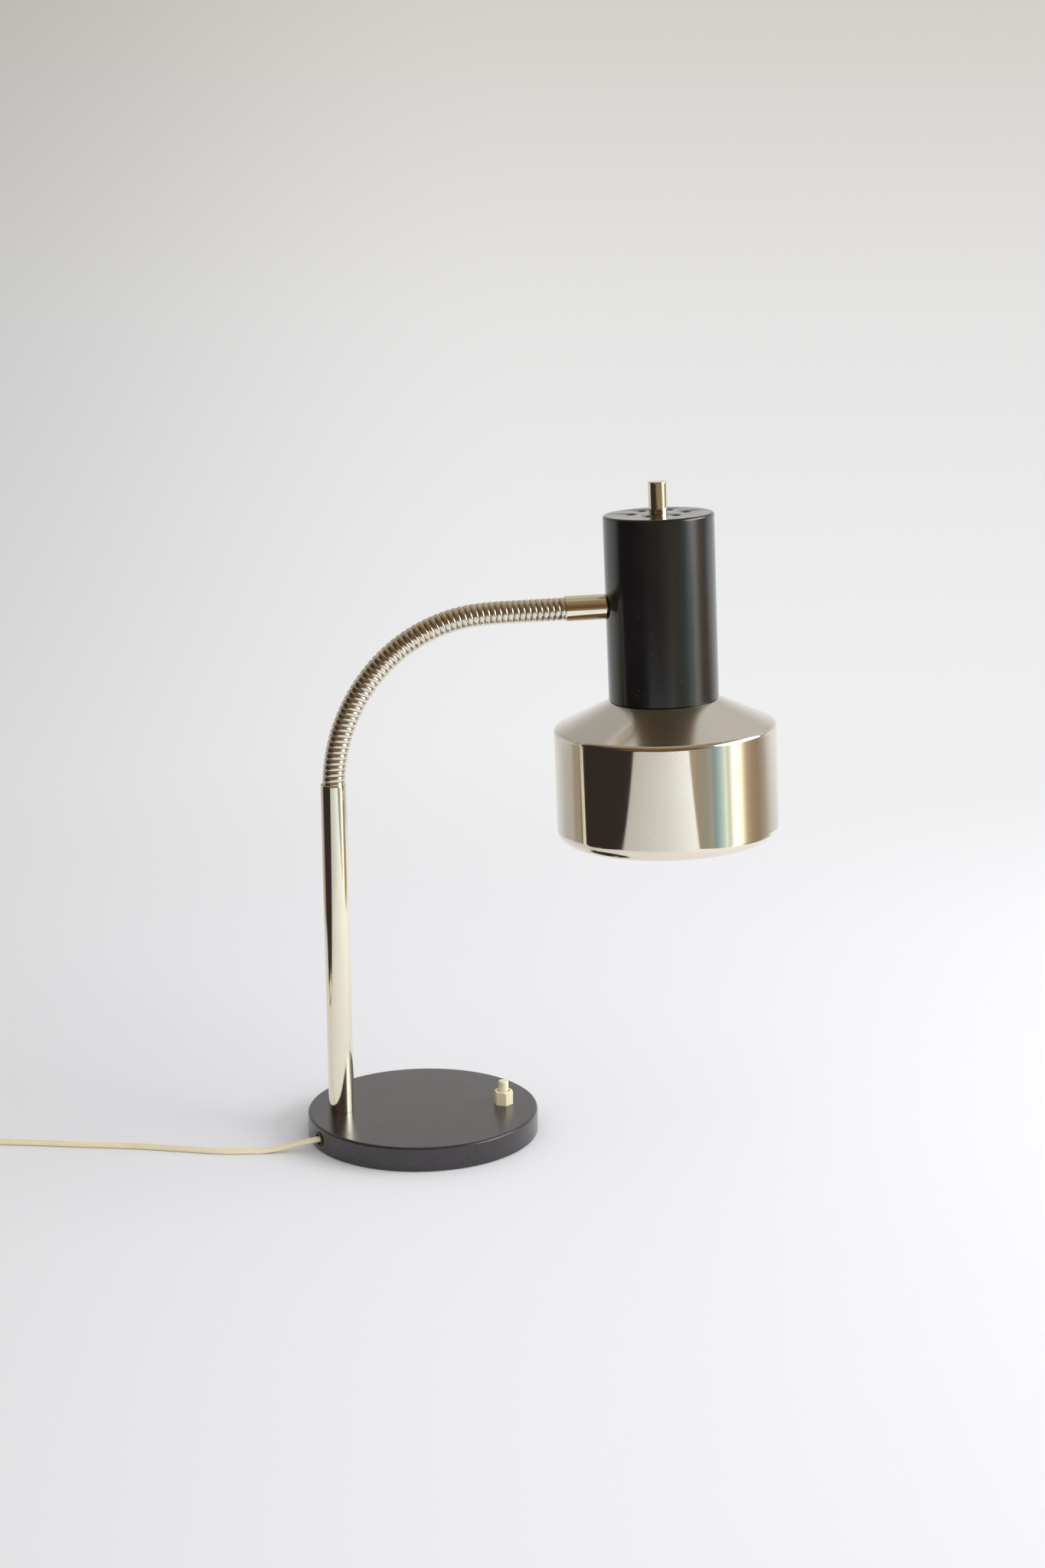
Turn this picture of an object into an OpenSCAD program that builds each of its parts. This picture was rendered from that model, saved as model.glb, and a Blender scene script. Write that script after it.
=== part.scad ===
// Gooseneck desk lamp: round weighted base with a push switch, chromed upright
// tube, flexible steel neck, black socket housing with a chromed handle, and a
// conical-shouldered drum shade. Millimetres, +Z up, origin on the table at the
// centre of the base, +X from the base towards the head.

/* [Base] */
// Diameter of the round base
base_d = 150; // [140:1:190]
// Height of the base, from the table to its top face
base_h = 16; // [16:0.5:24]
// Sheet thickness of the pressed cover
cover_wall = 1.2; // [0.8:0.1:1.6]
// Outside radius of the edge of the cover
cover_edge_r = 1.5; // [0.5:0.1:3]
// Thickness of the felt under the base
felt_t = 1.2; // [0.8:0.1:1.6]
// Thickness of the steel bottom plate
plate_t = 1.5; // [1:0.1:1.8]
// Thickness of the cast ballast disc
weight_t = 10; // [6:0.5:10.5]
// Distance from the centre of the base to the upright tube
upright_offset = 53; // [48:0.5:58]
// Distance from the centre of the base to the switch
switch_offset = 53; // [48:0.5:58]
// Diameter of the circle that the bottom screws lie on
screw_circle_d = 124; // [116:1:128]
// Thread diameter of the bottom screws
screw_d = 4; // [3:0.5:5]

/* [Upright tube] */
// Outside diameter of the upright tube
tube_d = 16.5; // [16.5:0.1:19]
// Wall of the upright tube
tube_wall = 1; // [0.8:0.1:1]
// Length of the tube, from the base to its rounded mouth
tube_len = 218; // [120:0.5:300]
// Rounding of the mouth of the tube
tube_lip_r = 0.8; // [0.3:0.1:0.8]
// Thread diameter of the hollow stems that hold the tube and the head
stem_d = 10; // [10:0.1:10.6]
// Bore of those stems
stem_bore_d = 6.4; // [6.4:0.1:7.4]

/* [Gooseneck] */
// Outside diameter of the flexible neck
neck_d = 14.2; // [14.2:0.1:14.4]
// Distance from one wound turn to the next
turn_pitch = 3.7; // [3.4:0.05:4]
// Depth of the groove between two turns
groove_depth = 0.75; // [0.3:0.05:0.8]
// Bore of the neck
neck_bore_d = 6.2; // [6:0.1:6.8]
// Diameter of the ball that joins two lengths of the neck
ball_d = 10; // [9.8:0.1:10.2]
// Lean of the first length out of the tube, in degrees
mouth_kink = 6; // [3:0.2:7]
// Turn of each joint in the lower half of the bend, in degrees
lower_kink = 7.4; // [6:0.2:8.2]
// Turn of each joint in the upper half of the bend, in degrees
upper_kink = 8.4; // [6:0.2:8.6]
// Turn of the last joint that is bent, in degrees
last_kink = 3; // [2:0.2:6]
// Diameter of the cable inside the neck
cable_d = 4.6; // [4:0.1:5]

/* [Head] */
// Outside diameter of the sleeve at the end of the neck
sleeve_d = 16.2; // [16.2:0.1:18]
// Length of that sleeve
sleeve_len = 26; // [22:0.2:34]
// Outside diameter of the socket housing
housing_d = 70; // [66:1:76]
// Height of the housing above the axis of the neck
housing_rise = 57; // [54:1:70]
// Depth of the housing below the axis of the neck
housing_drop = 61; // [58:1:66]
// Sheet thickness of the housing
housing_wall = 1; // [0.8:0.1:1.2]
// Rounding of the top edge of the housing
housing_edge_r = 1.6; // [0.8:0.1:3]
// Number of vent holes in the top of the housing
vent_count = 6; // [4:1:8]
// Diameter of each vent hole
vent_d = 6.4; // [4:0.1:8]
// Diameter of the circle of vent holes
vent_circle_d = 34.4; // [30:0.2:44]
// Diameter of the handle on top of the housing
handle_d = 12; // [10:0.5:16]
// Height of the handle above the housing
handle_len = 20; // [14:0.5:40]

/* [Shade] */
// Outside diameter of the shade
shade_d = 142; // [130:1:160]
// Height of the shade, from the foot of the housing to the lower lip
shade_h = 90; // [84:1:100]
// Slope of the conical shoulder below the horizontal, in degrees
cone_angle = 25.4; // [22:0.2:28]
// Sheet thickness of the shade
shade_wall = 0.8; // [0.6:0.1:1.2]
// Outside radius of the shoulder between the cone and the drum
shoulder_r = 4; // [2:0.5:8]
// Outside radius of the inward roll of the lower lip
roll_r = 8; // [4:0.5:9]
// Width of the flat hem inside the roll
hem_w = 1.5; // [1:0.5:4]

/* [Lampholder and bulb] */
// Outside diameter of the lampholder's skirt
holder_d = 39; // [38:0.5:40]
// Diameter of the thread that carries the shade
holder_thread_d = 40; // [40:0.1:42]
// Inside diameter of the brass screw shell
shell_d = 27; // [26.6:0.1:27.4]
// Diameter of the bulb
bulb_d = 55; // [45:1:58]
// Length of the bulb with its cap
bulb_len = 97; // [92:1:102]

/* [Switch] */
// Width across the flats of the hexagon nut
nut_flats = 11.2; // [10.6:0.1:12]
// Height of the hexagon nut
nut_h = 9; // [7:0.5:12]
// Diameter of the push button
button_d = 6.6; // [6:0.1:6.8]
// Height of the button above the nut
button_rise = 6.8; // [5:0.2:9]
// Travel of the button
button_travel = 3; // [2:0.2:3.4]
// Outside diameter of the threaded bush round the button
bush_d = 8.4; // [8.2:0.1:8.8]

/* [Supply cord] */
// Width of the flat two-core cord
flex_w = 5.4; // [5:0.1:5.6]
// Thickness of the cord
flex_t = 2.8; // [2.6:0.1:3]
// Radius at the middle of the coiled turns
coil_r = 31; // [29:1:34]
// Length of the plug's body without its pins
plug_len = 35; // [30:1:40]

/* [Hidden] */
$fn = 96;
round_steps = 6;        // segments of a small rounding
thread_gap = 0.05;      // radial play of a nut on its thread
hole_gap = 0.15;        // radial play of a screw or stem in a plain hole
seat_gap = 0.05;        // radial play of a pressed or soldered plug
running_gap = 0.08;     // radial play of the turning stem in the housing
face_gap = 0.3;         // gap between faces that move past each other

// Levels of the base, from the table up
plate_z = felt_t;
floor_z = felt_t + plate_t;
weight_z = floor_z + weight_t;
ceiling_z = base_h - cover_wall;
skirt_z = felt_t / 2;
base_r = base_d / 2;
cover_in_r = base_r - cover_wall;
plate_r = cover_in_r - 0.2;
felt_r = cover_in_r - 1.8;
weight_r = cover_in_r - face_gap;
screw_angles = [45, 135, 225, 315];
screw_head_d = 2 * screw_d;
boss_d = 10;

// Pockets of the ballast disc
slot_half = 11;
upright_pocket_r = 12.5;
switch_pocket_r = 12;
channel_half = 12;
channel_start = 15;

// Upright tube and what fastens it
tube_r = tube_d / 2;
tube_in_r = tube_r - tube_wall;
tube_top = base_h + tube_len;
stem_r = stem_d / 2;
stem_bore_r = stem_bore_d / 2;
foot_plug_h = 14;
foot_stem_end = floor_z + 5.3;
foot_washer_r = 9;
foot_washer_t = 1.2;
foot_nut_flats = 17;
foot_nut_h = 5;

// Gooseneck: straight lengths of a few turns that swivel on balls
turns_per_link = 4;
link_count = 14;
link_len = turn_pitch * turns_per_link;
neck_r = neck_d / 2;
ball_r = ball_d / 2;
neck_bore_r = neck_bore_d / 2;
joint_angle = 14;       // largest angle between two lengths
mouth_gap = 1;          // from the mouth of the tube up to the first ball
kinks = concat([mouth_kink],
               [for (i = [1:5]) lower_kink],
               [for (i = [1:5]) upper_kink],
               [last_kink, 0, 0]);
neck_foot = [upright_offset * -1, 0, tube_top + mouth_gap];
function lean(i) = i == 0 ? kinks[0] : lean(i - 1) + kinks[i];
function along(a) = [sin(a), 0, cos(a)];
function pivot(i) = i == 0 ? neck_foot : pivot(i - 1) + link_len * along(lean(i - 1));
neck_tip = pivot(link_count);
tip_lean = lean(link_count - 1);
socket_len = 28;
tail_len = 8.8;
sleeve_bore_r = neck_r + 0.1;
sleeve_bore_len = tail_len + 0.2;
sleeve_edge_r = 0.8;

// Head: its frame has the axis of the neck's end as X and the shade's axis as Z
housing_r = housing_d / 2;
housing_in_r = housing_r - housing_wall;
head_reach = sleeve_len + face_gap + housing_r;
head_origin = neck_tip + head_reach * along(tip_lean);
head_turn = tip_lean - 90;
stem_reach = 12;        // of the side stem past the outside of the housing
side_washer_r = 8.5;
side_washer_t = 1;
side_nut_flats = 14;
side_nut_t = 4;
side_seat = -sqrt(pow(housing_in_r, 2) - pow(side_washer_r, 2)) + face_gap;
housing_top_t = 1.2;
under_top = housing_rise - housing_top_t;
stud_r = 2.5;
stud_len = 8;
strap_w = 12;
strap_t = 1.5;
strap_half = 20;
handle_nut_flats = 8;
handle_nut_t = 4;

// Shade: the cone runs on inside the housing to a flat seat
shade_r = shade_d / 2;
flat_r = 28;
cone_slope = tan(cone_angle);
function cone_z(r) = -housing_drop + (housing_r - r) * cone_slope;
seat_z = cone_z(flat_r);
housing_foot = cone_z(housing_in_r) + 0.1;
lip_z = -housing_drop - shade_h;
shoulder_z = cone_z(shade_r) - shoulder_r * tan((90 - cone_angle) / 2);

// Lampholder, hung from the strap and clamping the shade
holder_r = holder_d / 2;
holder_thread_r = holder_thread_d / 2;
holder_top = -4;
cap_foot = holder_top - 18;
holder_foot = seat_z - 10;
insert_z = cap_foot - 4;
insert_t = 8;
insert_foot = insert_z - insert_t;
shell_r = shell_d / 2;
shell_t = 0.4;
cap_r = shell_r - 0.5;
bulb_top = insert_foot - 3.2;
bulb_r = bulb_d / 2;
bulb_centre = bulb_top - bulb_len + bulb_r;
glass_t = 0.8;

// Switch
switch_x = switch_offset;
switch_body_r = 9.5;
switch_floor = floor_z + 0.6;
chamber_floor = switch_floor + 1.2;
chamber_top = ceiling_z - 1.5;
chamber_r = 6;
nut_top = base_h + nut_h;
button_top = nut_top + button_rise;
button_r = button_d / 2;
guide_r = button_r + 0.2;
collar_r = 5.5;
collar_t = 1.4;
spring_r = 4.6;
spring_wire = 0.7;

// Supply cord: hand-laid points, from the terminal block to the coil
cord_angle = -155.3;
cord_z = 8.2;
cord_hole_r = 4.2;
cord_bore_r = 3.3;
clamp_r = 56;
flex_rest = flex_t / 2 + 0.1;
cord_points = [
    [-38, -17.5, 5.2], [-45, -20.7, 5.2], [-51, -23.4, 5.2], [-57, -26.2, 5.8], [-62, -28.5, 7.2],
    [-67, -30.8, 8.2], [-70.5, -32.2, 8.2], [-74.5, -32.9, 7.8], [-79, -32.7, 6.9], [-84, -32, 5.6], [-88.5, -31.4, 4.3],
    [-93, -30.9, 3.2], [-100, -30.7, 2], [-107, -30.4, 1.5], [-114.5, -30, 1.5], [-122, -29.4, 1.5],
    [-129, -28.4, 1.5], [-143, -24.9, 1.5], [-158, -20.4, 1.5], [-172, -16.3, 1.5], [-187, -12.5, 1.5],
    [-208, -8, 1.5], [-230, -3.7, 1.5], [-245, -0.4, 1.5], [-260, 2.6, 1.5], [-274, 5.3, 1.5],
    [-288, 8, 1.7], [-301, 10.5, 2], [-312, 12.5, 2.3], [-318, 13.3, 2.3]];
coil_centre = [-322, -20];
coil_half = 5.8;
coil_z = 0.8;
coil_h = 11.4;
plug_points = [
    [-355.7, -22, 10.6], [-355.7, -28, 10.4], [-355.7, -34, 9.6], [-355.7, -40, 8.3], [-355.7, -45, 7.3], [-355.7, -50, 7]];
plug_z = 7;
relief_len = 22;
relief_y = -48;
plug_y = relief_y - relief_len;

// ---------------------------------------------------------------- helpers

function arc(centre, r, from, to) =
    [for (i = [0:round_steps]) centre + r * [cos(from + (to - from) * i / round_steps),
                                             sin(from + (to - from) * i / round_steps)]];

function curve(a, b, c, d, steps) =
    [for (i = [0:steps]) let (t = i / steps, s = 1 - t)
        s * s * s * a + 3 * s * s * t * b + 3 * s * t * t * c + t * t * t * d];

function unit(v) = v / norm(v);

// Rings of a flat or round section carried along a list of points. A route that
// stays in the XZ plane keeps its rings upright on Y, any other one lies flat.
module swept(points, half_w, half_h, upright = false, sides = 8) {
    last = len(points) - 1;
    rings = [for (i = [0:last])
        let (ahead = unit(points[min(i + 1, last)] - points[max(i - 1, 0)]),
             side = upright ? [0, 1, 0] : unit(cross([0, 0, 1], ahead)),
             up = cross(ahead, side))
        for (j = [0:sides - 1])
            let (a = 360 * (j + 0.5) / sides, k = 1 / cos(180 / sides))
            points[i] + side * half_w * k * cos(a) + up * half_h * k * sin(a)];
    walls = [for (i = [0:last - 1], j = [0:sides - 1])
        let (n = (j + 1) % sides)
        [i * sides + j, (i + 1) * sides + j, (i + 1) * sides + n, i * sides + n]];
    foot = [for (j = [0:sides - 1]) j];
    head = [for (j = [sides - 1:-1:0]) last * sides + j];
    polyhedron(points = rings, faces = concat(walls, [foot, head]), convexity = 6);
}

module hex(flats, h) {
    cylinder(d = flats / cos(30), h = h, $fn = 6);
}

module hex_nut(flats, h, bore_r) {
    difference() {
        hex(flats, h);
        translate([0, 0, -1]) cylinder(r = bore_r, h = h + 2);
    }
}

module washer(r, h, bore_r) {
    difference() {
        cylinder(r = r, h = h);
        translate([0, 0, -1]) cylinder(r = bore_r, h = h + 2);
    }
}

module at_screws() {
    for (a = screw_angles) rotate([0, 0, a]) translate([screw_circle_d / 2, 0, 0]) children();
}

module at_upright() {
    translate([-upright_offset, 0, 0]) children();
}

module at_switch() {
    translate([switch_x, 0, 0]) children();
}

// X points out of the base through the cord hole
module at_cord() {
    rotate([0, 0, cord_angle]) children();
}

// Z runs along a length of the neck, from the ball below it
module at_link(i) {
    translate(pivot(i)) rotate([0, lean(i), 0]) children();
}

module at_tip() {
    translate(neck_tip) rotate([0, tip_lean, 0]) children();
}

module in_head() {
    translate(head_origin) rotate([0, head_turn, 0]) children();
}

// ------------------------------------------------------------------- base

module base_cover() {
    color("#2b2826")
    difference() {
        union() {
            rotate_extrude() polygon(concat(
                [[0, ceiling_z], [0, base_h]],
                arc([base_r - cover_edge_r, base_h - cover_edge_r], cover_edge_r, 90, 0),
                [[base_r, skirt_z], [cover_in_r, skirt_z], [cover_in_r, ceiling_z]]));
            at_screws() translate([0, 0, weight_z]) cylinder(d = boss_d, h = ceiling_z - weight_z + 0.2);
        }
        at_upright() translate([0, 0, base_h / 2]) cylinder(r = stem_r + hole_gap, h = base_h);
        at_switch() translate([0, 0, base_h / 2]) cylinder(r = bush_d / 2 + hole_gap, h = base_h);
        at_screws() translate([0, 0, weight_z - 1]) cylinder(r = screw_d / 2 + thread_gap, h = ceiling_z - weight_z + 1);
        at_cord() translate([cover_in_r - 2, 0, cord_z]) rotate([0, 90, 0]) cylinder(r = cord_hole_r, h = cover_wall + 4);
    }
}

module base_weight() {
    color("#4a4a4c")
    difference() {
        translate([0, 0, floor_z]) cylinder(r = weight_r, h = weight_t);
        translate([-upright_offset, -slot_half, floor_z - 1]) cube([upright_offset + switch_x, 2 * slot_half, weight_t + 2]);
        at_upright() translate([0, 0, floor_z - 1]) cylinder(r = upright_pocket_r, h = weight_t + 2);
        at_switch() translate([0, 0, floor_z - 1]) cylinder(r = switch_pocket_r, h = weight_t + 2);
        at_cord() translate([channel_start, -channel_half, floor_z - 1]) cube([base_r, 2 * channel_half, weight_t + 2]);
        at_screws() translate([0, 0, floor_z - 1]) cylinder(r = screw_d / 2 + hole_gap, h = weight_t + 2);
    }
}

module base_plate() {
    color("#8d8f92")
    difference() {
        translate([0, 0, plate_z]) cylinder(r = plate_r, h = plate_t);
        at_screws() translate([0, 0, plate_z - 0.01])
            cylinder(r1 = screw_head_d / 2 + 0.1, r2 = screw_d / 2 + 0.1, h = plate_t + 0.02);
    }
}

module base_felt() {
    color("#20261f")
    cylinder(r = felt_r, h = felt_t);
}

module plate_screws() {
    color("#9a9a9a")
    at_screws() translate([0, 0, plate_z]) {
        cylinder(r1 = screw_head_d / 2, r2 = screw_d / 2, h = plate_t);
        cylinder(r = screw_d / 2, h = ceiling_z - plate_z - 0.5);
    }
}

// ---------------------------------------------------------------- upright

module upright_tube() {
    color("#d8d8dc")
    at_upright() rotate_extrude() polygon(concat(
        [[tube_in_r, base_h], [tube_r, base_h]],
        arc([tube_r - tube_lip_r, tube_top - tube_lip_r], tube_lip_r, 0, 90),
        [[tube_in_r, tube_top - 0.1]]));
}

// Plug in the foot of the tube, with the stem that passes through the base
module tube_foot_plug() {
    color("#b08d57")
    at_upright() difference() {
        union() {
            translate([0, 0, base_h]) cylinder(r = tube_in_r - seat_gap, h = foot_plug_h);
            translate([0, 0, foot_stem_end]) cylinder(r = stem_r, h = base_h - foot_stem_end + 1);
        }
        translate([0, 0, foot_stem_end - 1]) cylinder(r = stem_bore_r, h = base_h + foot_plug_h);
    }
}

module tube_washer() {
    color("#9a9a9a")
    at_upright() translate([0, 0, ceiling_z - foot_washer_t])
        washer(foot_washer_r, foot_washer_t, stem_r + hole_gap);
}

module tube_nut() {
    color("#a5a5a8")
    at_upright() translate([0, 0, ceiling_z - foot_washer_t - foot_nut_h])
        hex_nut(foot_nut_flats, foot_nut_h, stem_r + thread_gap);
}

// --------------------------------------------------------------- gooseneck

cone_lift = 0.15;
function end_face(r) = r * tan(joint_angle / 2) + cone_lift;

// Half outline of a ball that stands on a length of neck ending at height z
function ball_outline(z) = concat(
    [[ball_r, z - end_face(ball_r)]],
    [for (i = [0:8]) let (a = i / 8 * acos(neck_bore_r / ball_r)) [ball_r * cos(a), z + ball_r * sin(a)]]);

// Half outline of the hollow that takes the ball of the length below
cup_r = ball_r + face_gap;
cup_edge = end_face(cup_r);
function cup_outline() =
    [for (i = [0:8])
        let (a = acos(neck_bore_r / cup_r) + (asin(cup_edge / cup_r) - acos(neck_bore_r / cup_r)) * i / 8)
        [cup_r * cos(a), cup_r * sin(a)]];

// Rounded turns between heights a and b; each crest is half a turn from its grooves
function turn_outline(a, b) =
    [for (i = [0:turns_per_link * 6])
        let (z = i * turn_pitch / 6, t = 2 * (i % 6) / 6 - 1)
        if (z >= a && z <= b) [neck_r - groove_depth * (1 - sqrt(max(0, 1 - t * t))), z]];

module neck_length(last_one) {
    rotate_extrude() polygon(concat(
        cup_outline(),
        [[neck_r - groove_depth, end_face(neck_r - groove_depth)]],
        turn_outline(end_face(neck_r), link_len - end_face(neck_r)),
        last_one ? [[neck_r - 0.05, link_len], [neck_r - 0.05, link_len + tail_len], [neck_bore_r, link_len + tail_len]]
                 : concat([[neck_r - groove_depth, link_len - end_face(neck_r - groove_depth)]],
                          ball_outline(link_len))));
}

module neck_link(n) {
    color("#c9c4bb")
    at_link(n - 1) neck_length(n == link_count);
}

module neck_link_01() neck_link(1);
module neck_link_02() neck_link(2);
module neck_link_03() neck_link(3);
module neck_link_04() neck_link(4);
module neck_link_05() neck_link(5);
module neck_link_06() neck_link(6);
module neck_link_07() neck_link(7);
module neck_link_08() neck_link(8);
module neck_link_09() neck_link(9);
module neck_link_10() neck_link(10);
module neck_link_11() neck_link(11);
module neck_link_12() neck_link(12);
module neck_link_13() neck_link(13);
module neck_link_14() neck_link(14);

// Plug in the mouth of the tube, with the first ball on top
module neck_socket() {
    plug_r = tube_in_r - seat_gap;
    color("#b08d57")
    translate(neck_foot) rotate_extrude() polygon(concat(
        [[neck_bore_r, -socket_len], [plug_r, -socket_len], [plug_r, -end_face(plug_r) - mouth_gap / 2]],
        ball_outline(0)));
}

// Cable from the foot of the tube to the inside of the housing
module neck_cable() {
    start = [neck_foot[0], 0, foot_stem_end + 0.2];
    finish = head_origin + (stem_reach - housing_r + 0.6) * along(tip_lean);
    route = concat([start, [start[0], 0, (start[2] + neck_foot[2]) / 2]],
        [for (i = [0:link_count - 1]) each [pivot(i), pivot(i) + link_len / 2 * along(lean(i))]],
        [neck_tip, (neck_tip + finish) / 2, finish]);
    color("#e8e2d0")
    swept(route, cable_d / 2, cable_d / 2, upright = true);
}

module neck_sleeve() {
    color("#d8d8dc")
    at_tip() rotate_extrude() polygon(concat(
        [[sleeve_bore_r, 0]],
        arc([sleeve_d / 2 - sleeve_edge_r, sleeve_edge_r], sleeve_edge_r, -90, 0),
        [[sleeve_d / 2, sleeve_len], [stem_r + thread_gap, sleeve_len],
         [stem_r + thread_gap, sleeve_bore_len], [sleeve_bore_r, sleeve_bore_len]]));
}

// Hollow threaded stem that the head hangs on and turns about
module side_stem() {
    color("#b08d57")
    at_tip() translate([0, 0, sleeve_bore_len])
        washer(stem_r, head_reach - housing_r + stem_reach - sleeve_bore_len, stem_bore_r);
}

module side_washer() {
    color("#9a9a9a")
    in_head() translate([side_seat, 0, 0]) rotate([0, 90, 0])
        washer(side_washer_r, side_washer_t, stem_r + thread_gap);
}

module side_nut() {
    color("#a5a5a8")
    in_head() translate([side_seat + side_washer_t, 0, 0]) rotate([0, 90, 0])
        hex_nut(side_nut_flats, side_nut_t, stem_r + thread_gap);
}

// -------------------------------------------------------------------- head

module socket_housing() {
    color("#1c1b1a")
    in_head() difference() {
        rotate_extrude() polygon(concat(
            [[0, under_top], [0, housing_rise]],
            arc([housing_r - housing_edge_r, housing_rise - housing_edge_r], housing_edge_r, 90, 0),
            [[housing_r, housing_foot], [housing_in_r, housing_foot], [housing_in_r, under_top]]));
        for (i = [0:vent_count - 1]) rotate([0, 0, i * 360 / vent_count])
            translate([vent_circle_d / 2, 0, under_top - 1]) cylinder(d = vent_d, h = housing_top_t + 2);
        translate([0, 0, under_top - 1]) cylinder(r = stud_r + hole_gap, h = housing_top_t + 2);
        translate([-housing_r - 1, 0, 0]) rotate([0, 90, 0]) cylinder(r = stem_r + running_gap, h = housing_wall + 2);
    }
}

module handle() {
    color("#d8d8dc")
    in_head() rotate_extrude() polygon(concat(
        [[0, housing_rise - stud_len], [stud_r, housing_rise - stud_len], [stud_r, housing_rise], [handle_d / 2, housing_rise]],
        arc([handle_d / 2 - 0.8, housing_rise + handle_len - 0.8], 0.8, 0, 90),
        [[0, housing_rise + handle_len]]));
}

module handle_nut() {
    color("#a5a5a8")
    in_head() translate([0, 0, under_top - strap_t - handle_nut_t])
        hex_nut(handle_nut_flats, handle_nut_t, stud_r + thread_gap);
}

// Closed strap that hangs from the handle's stud and carries the lampholder
module holder_strap() {
    color("#9a9a9a")
    in_head() difference() {
        translate([-strap_w / 2, -strap_half, holder_top]) cube([strap_w, 2 * strap_half, under_top - holder_top]);
        translate([-strap_w / 2 - 1, -strap_half + strap_t, holder_top + strap_t])
            cube([strap_w + 2, 2 * (strap_half - strap_t), under_top - holder_top - 2 * strap_t]);
        translate([0, 0, under_top - strap_t - 1]) cylinder(r = stud_r + hole_gap, h = strap_t + 2);
        translate([0, 0, holder_top - 1]) cylinder(r = stem_r + thread_gap, h = strap_t + 2);
    }
}

module head_lead() {
    start = stem_reach - housing_r + 1.4;
    color("#e8e2d0")
    in_head() swept([[start, 0, 0], [start + 1.5, 0, 0], [-15, 0, 3.4], [-9, 0, 9], [-3, 0, 11], [1.5, 0, 8.5],
                     [1.5, 0, 3], [0.3, 0, -2], [0, 0, -8]], cable_d / 2 - 0.1, cable_d / 2 - 0.1, upright = true);
}

module holder_cap() {
    wall = 2;
    color("#17130f")
    in_head() rotate_extrude() polygon([
        [stem_bore_r, holder_top + 4], [stem_r, holder_top + 4], [stem_r, holder_top], [holder_r / 2, holder_top],
        [holder_r - 2.5, holder_top - 4], [holder_r, holder_top - 10], [holder_r, cap_foot],
        [holder_r - wall, cap_foot], [holder_r - wall, holder_top - 10.6], [holder_r - 4, holder_top - 5.6],
        [holder_r / 2 - 0.4, holder_top - wall], [stem_bore_r, holder_top - wall]]);
}

module holder_skirt() {
    insert_bore = holder_r - 2.3;
    color("#17130f")
    in_head() rotate_extrude() polygon([
        [holder_r, cap_foot], [holder_r, seat_z + 2], [holder_r + 3.5, seat_z + 2], [holder_r + 3.5, seat_z],
        [holder_thread_r, seat_z], [holder_thread_r, holder_foot], [shell_r + 2, holder_foot],
        [shell_r + 2, insert_foot], [insert_bore, insert_foot], [insert_bore, cap_foot]]);
}

module holder_insert() {
    color("#ece8df")
    in_head() difference() {
        translate([0, 0, insert_foot]) cylinder(r = holder_r - 2.5, h = insert_t);
        for (s = [-1, 1]) translate([s * 8, 0, insert_foot - 1]) cylinder(r = 1.6, h = insert_t + 2);
    }
}

module screw_shell() {
    ridge = 0.3;
    top = insert_foot;
    foot = holder_foot + 3;
    n = floor((top - foot) / 3.6) * 2;
    color("#c9a24a")
    in_head() rotate_extrude() polygon(concat(
        [for (i = [0:n]) [shell_r + (i % 2) * ridge, top - (top - foot) * i / n]],
        [for (i = [n:-1:0]) [shell_r + shell_t + (i % 2) * ridge, top - (top - foot) * i / n]]));
}

module centre_contact() {
    color("#c9a24a")
    in_head() translate([0, 0, insert_foot - 3]) cylinder(r1 = 2, r2 = 3, h = 3);
}

// Outline of the shade, offset inwards by t from its outer face
function shade_outline(t) = concat(
    [[flat_r - t * (1 / cos(cone_angle) - 1) / cone_slope, seat_z - t]],
    arc([shade_r - shoulder_r, shoulder_z], shoulder_r - t, 90 - cone_angle, 0),
    arc([shade_r - roll_r, lip_z + roll_r], roll_r - t, 0, -90),
    [[shade_r - roll_r - hem_w, lip_z + t]]);

module shade() {
    hole_r = holder_thread_r + 0.3;
    outer = shade_outline(0);
    inner = shade_outline(shade_wall);
    color("#cfc9c0")
    in_head() rotate_extrude() polygon(concat(
        [[hole_r, seat_z]], outer, [for (i = [len(inner) - 1:-1:0]) inner[i]], [[hole_r, seat_z - shade_wall]]));
}

module shade_ring() {
    color("#17130f")
    in_head() translate([0, 0, seat_z - shade_wall - 5])
        washer(flat_r - 1, 5, holder_thread_r + thread_gap);
}

function glass_outline(t) =
    let (a = 40, neck = cap_r - 0.7 - t, r = bulb_r - t,
         join = [r * cos(a), bulb_centre + r * sin(a)], neck_end = [neck, bulb_top - 28])
    concat([[neck, bulb_top - 21]],
           curve(neck_end, neck_end - [0, 10], join + 9 * [-sin(a), cos(a)], join, 6),
           [for (i = [1:12]) let (b = a - (90 + a) * i / 12) [max(0, r * cos(b)), bulb_centre + r * sin(b)]]);

module bulb_glass() {
    inner = glass_outline(glass_t);
    color("#f4f1ea")
    in_head() rotate_extrude() polygon(concat(
        glass_outline(0), [for (i = [len(inner) - 1:-1:0]) inner[i]]));
}

module bulb_cap() {
    color("#c0b8a0")
    in_head() rotate_extrude() polygon([
        [0, bulb_top], [5, bulb_top], [5, bulb_top - 1], [cap_r - 1, bulb_top - 3], [cap_r, bulb_top - 4],
        [cap_r, bulb_top - 24.5], [cap_r - 0.5, bulb_top - 24.5], [cap_r - 0.5, bulb_top - 4.2], [0, bulb_top - 2.6]]);
}

// ------------------------------------------------------------------ switch

module switch_body() {
    color("#d9d2be")
    at_switch() difference() {
        translate([0, 0, switch_floor]) cylinder(r = switch_body_r, h = ceiling_z - switch_floor);
        translate([0, 0, chamber_floor]) cylinder(r = chamber_r, h = chamber_top - chamber_floor);
        translate([0, 0, chamber_top - 1]) cylinder(r = guide_r, h = ceiling_z);
    }
}

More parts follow.
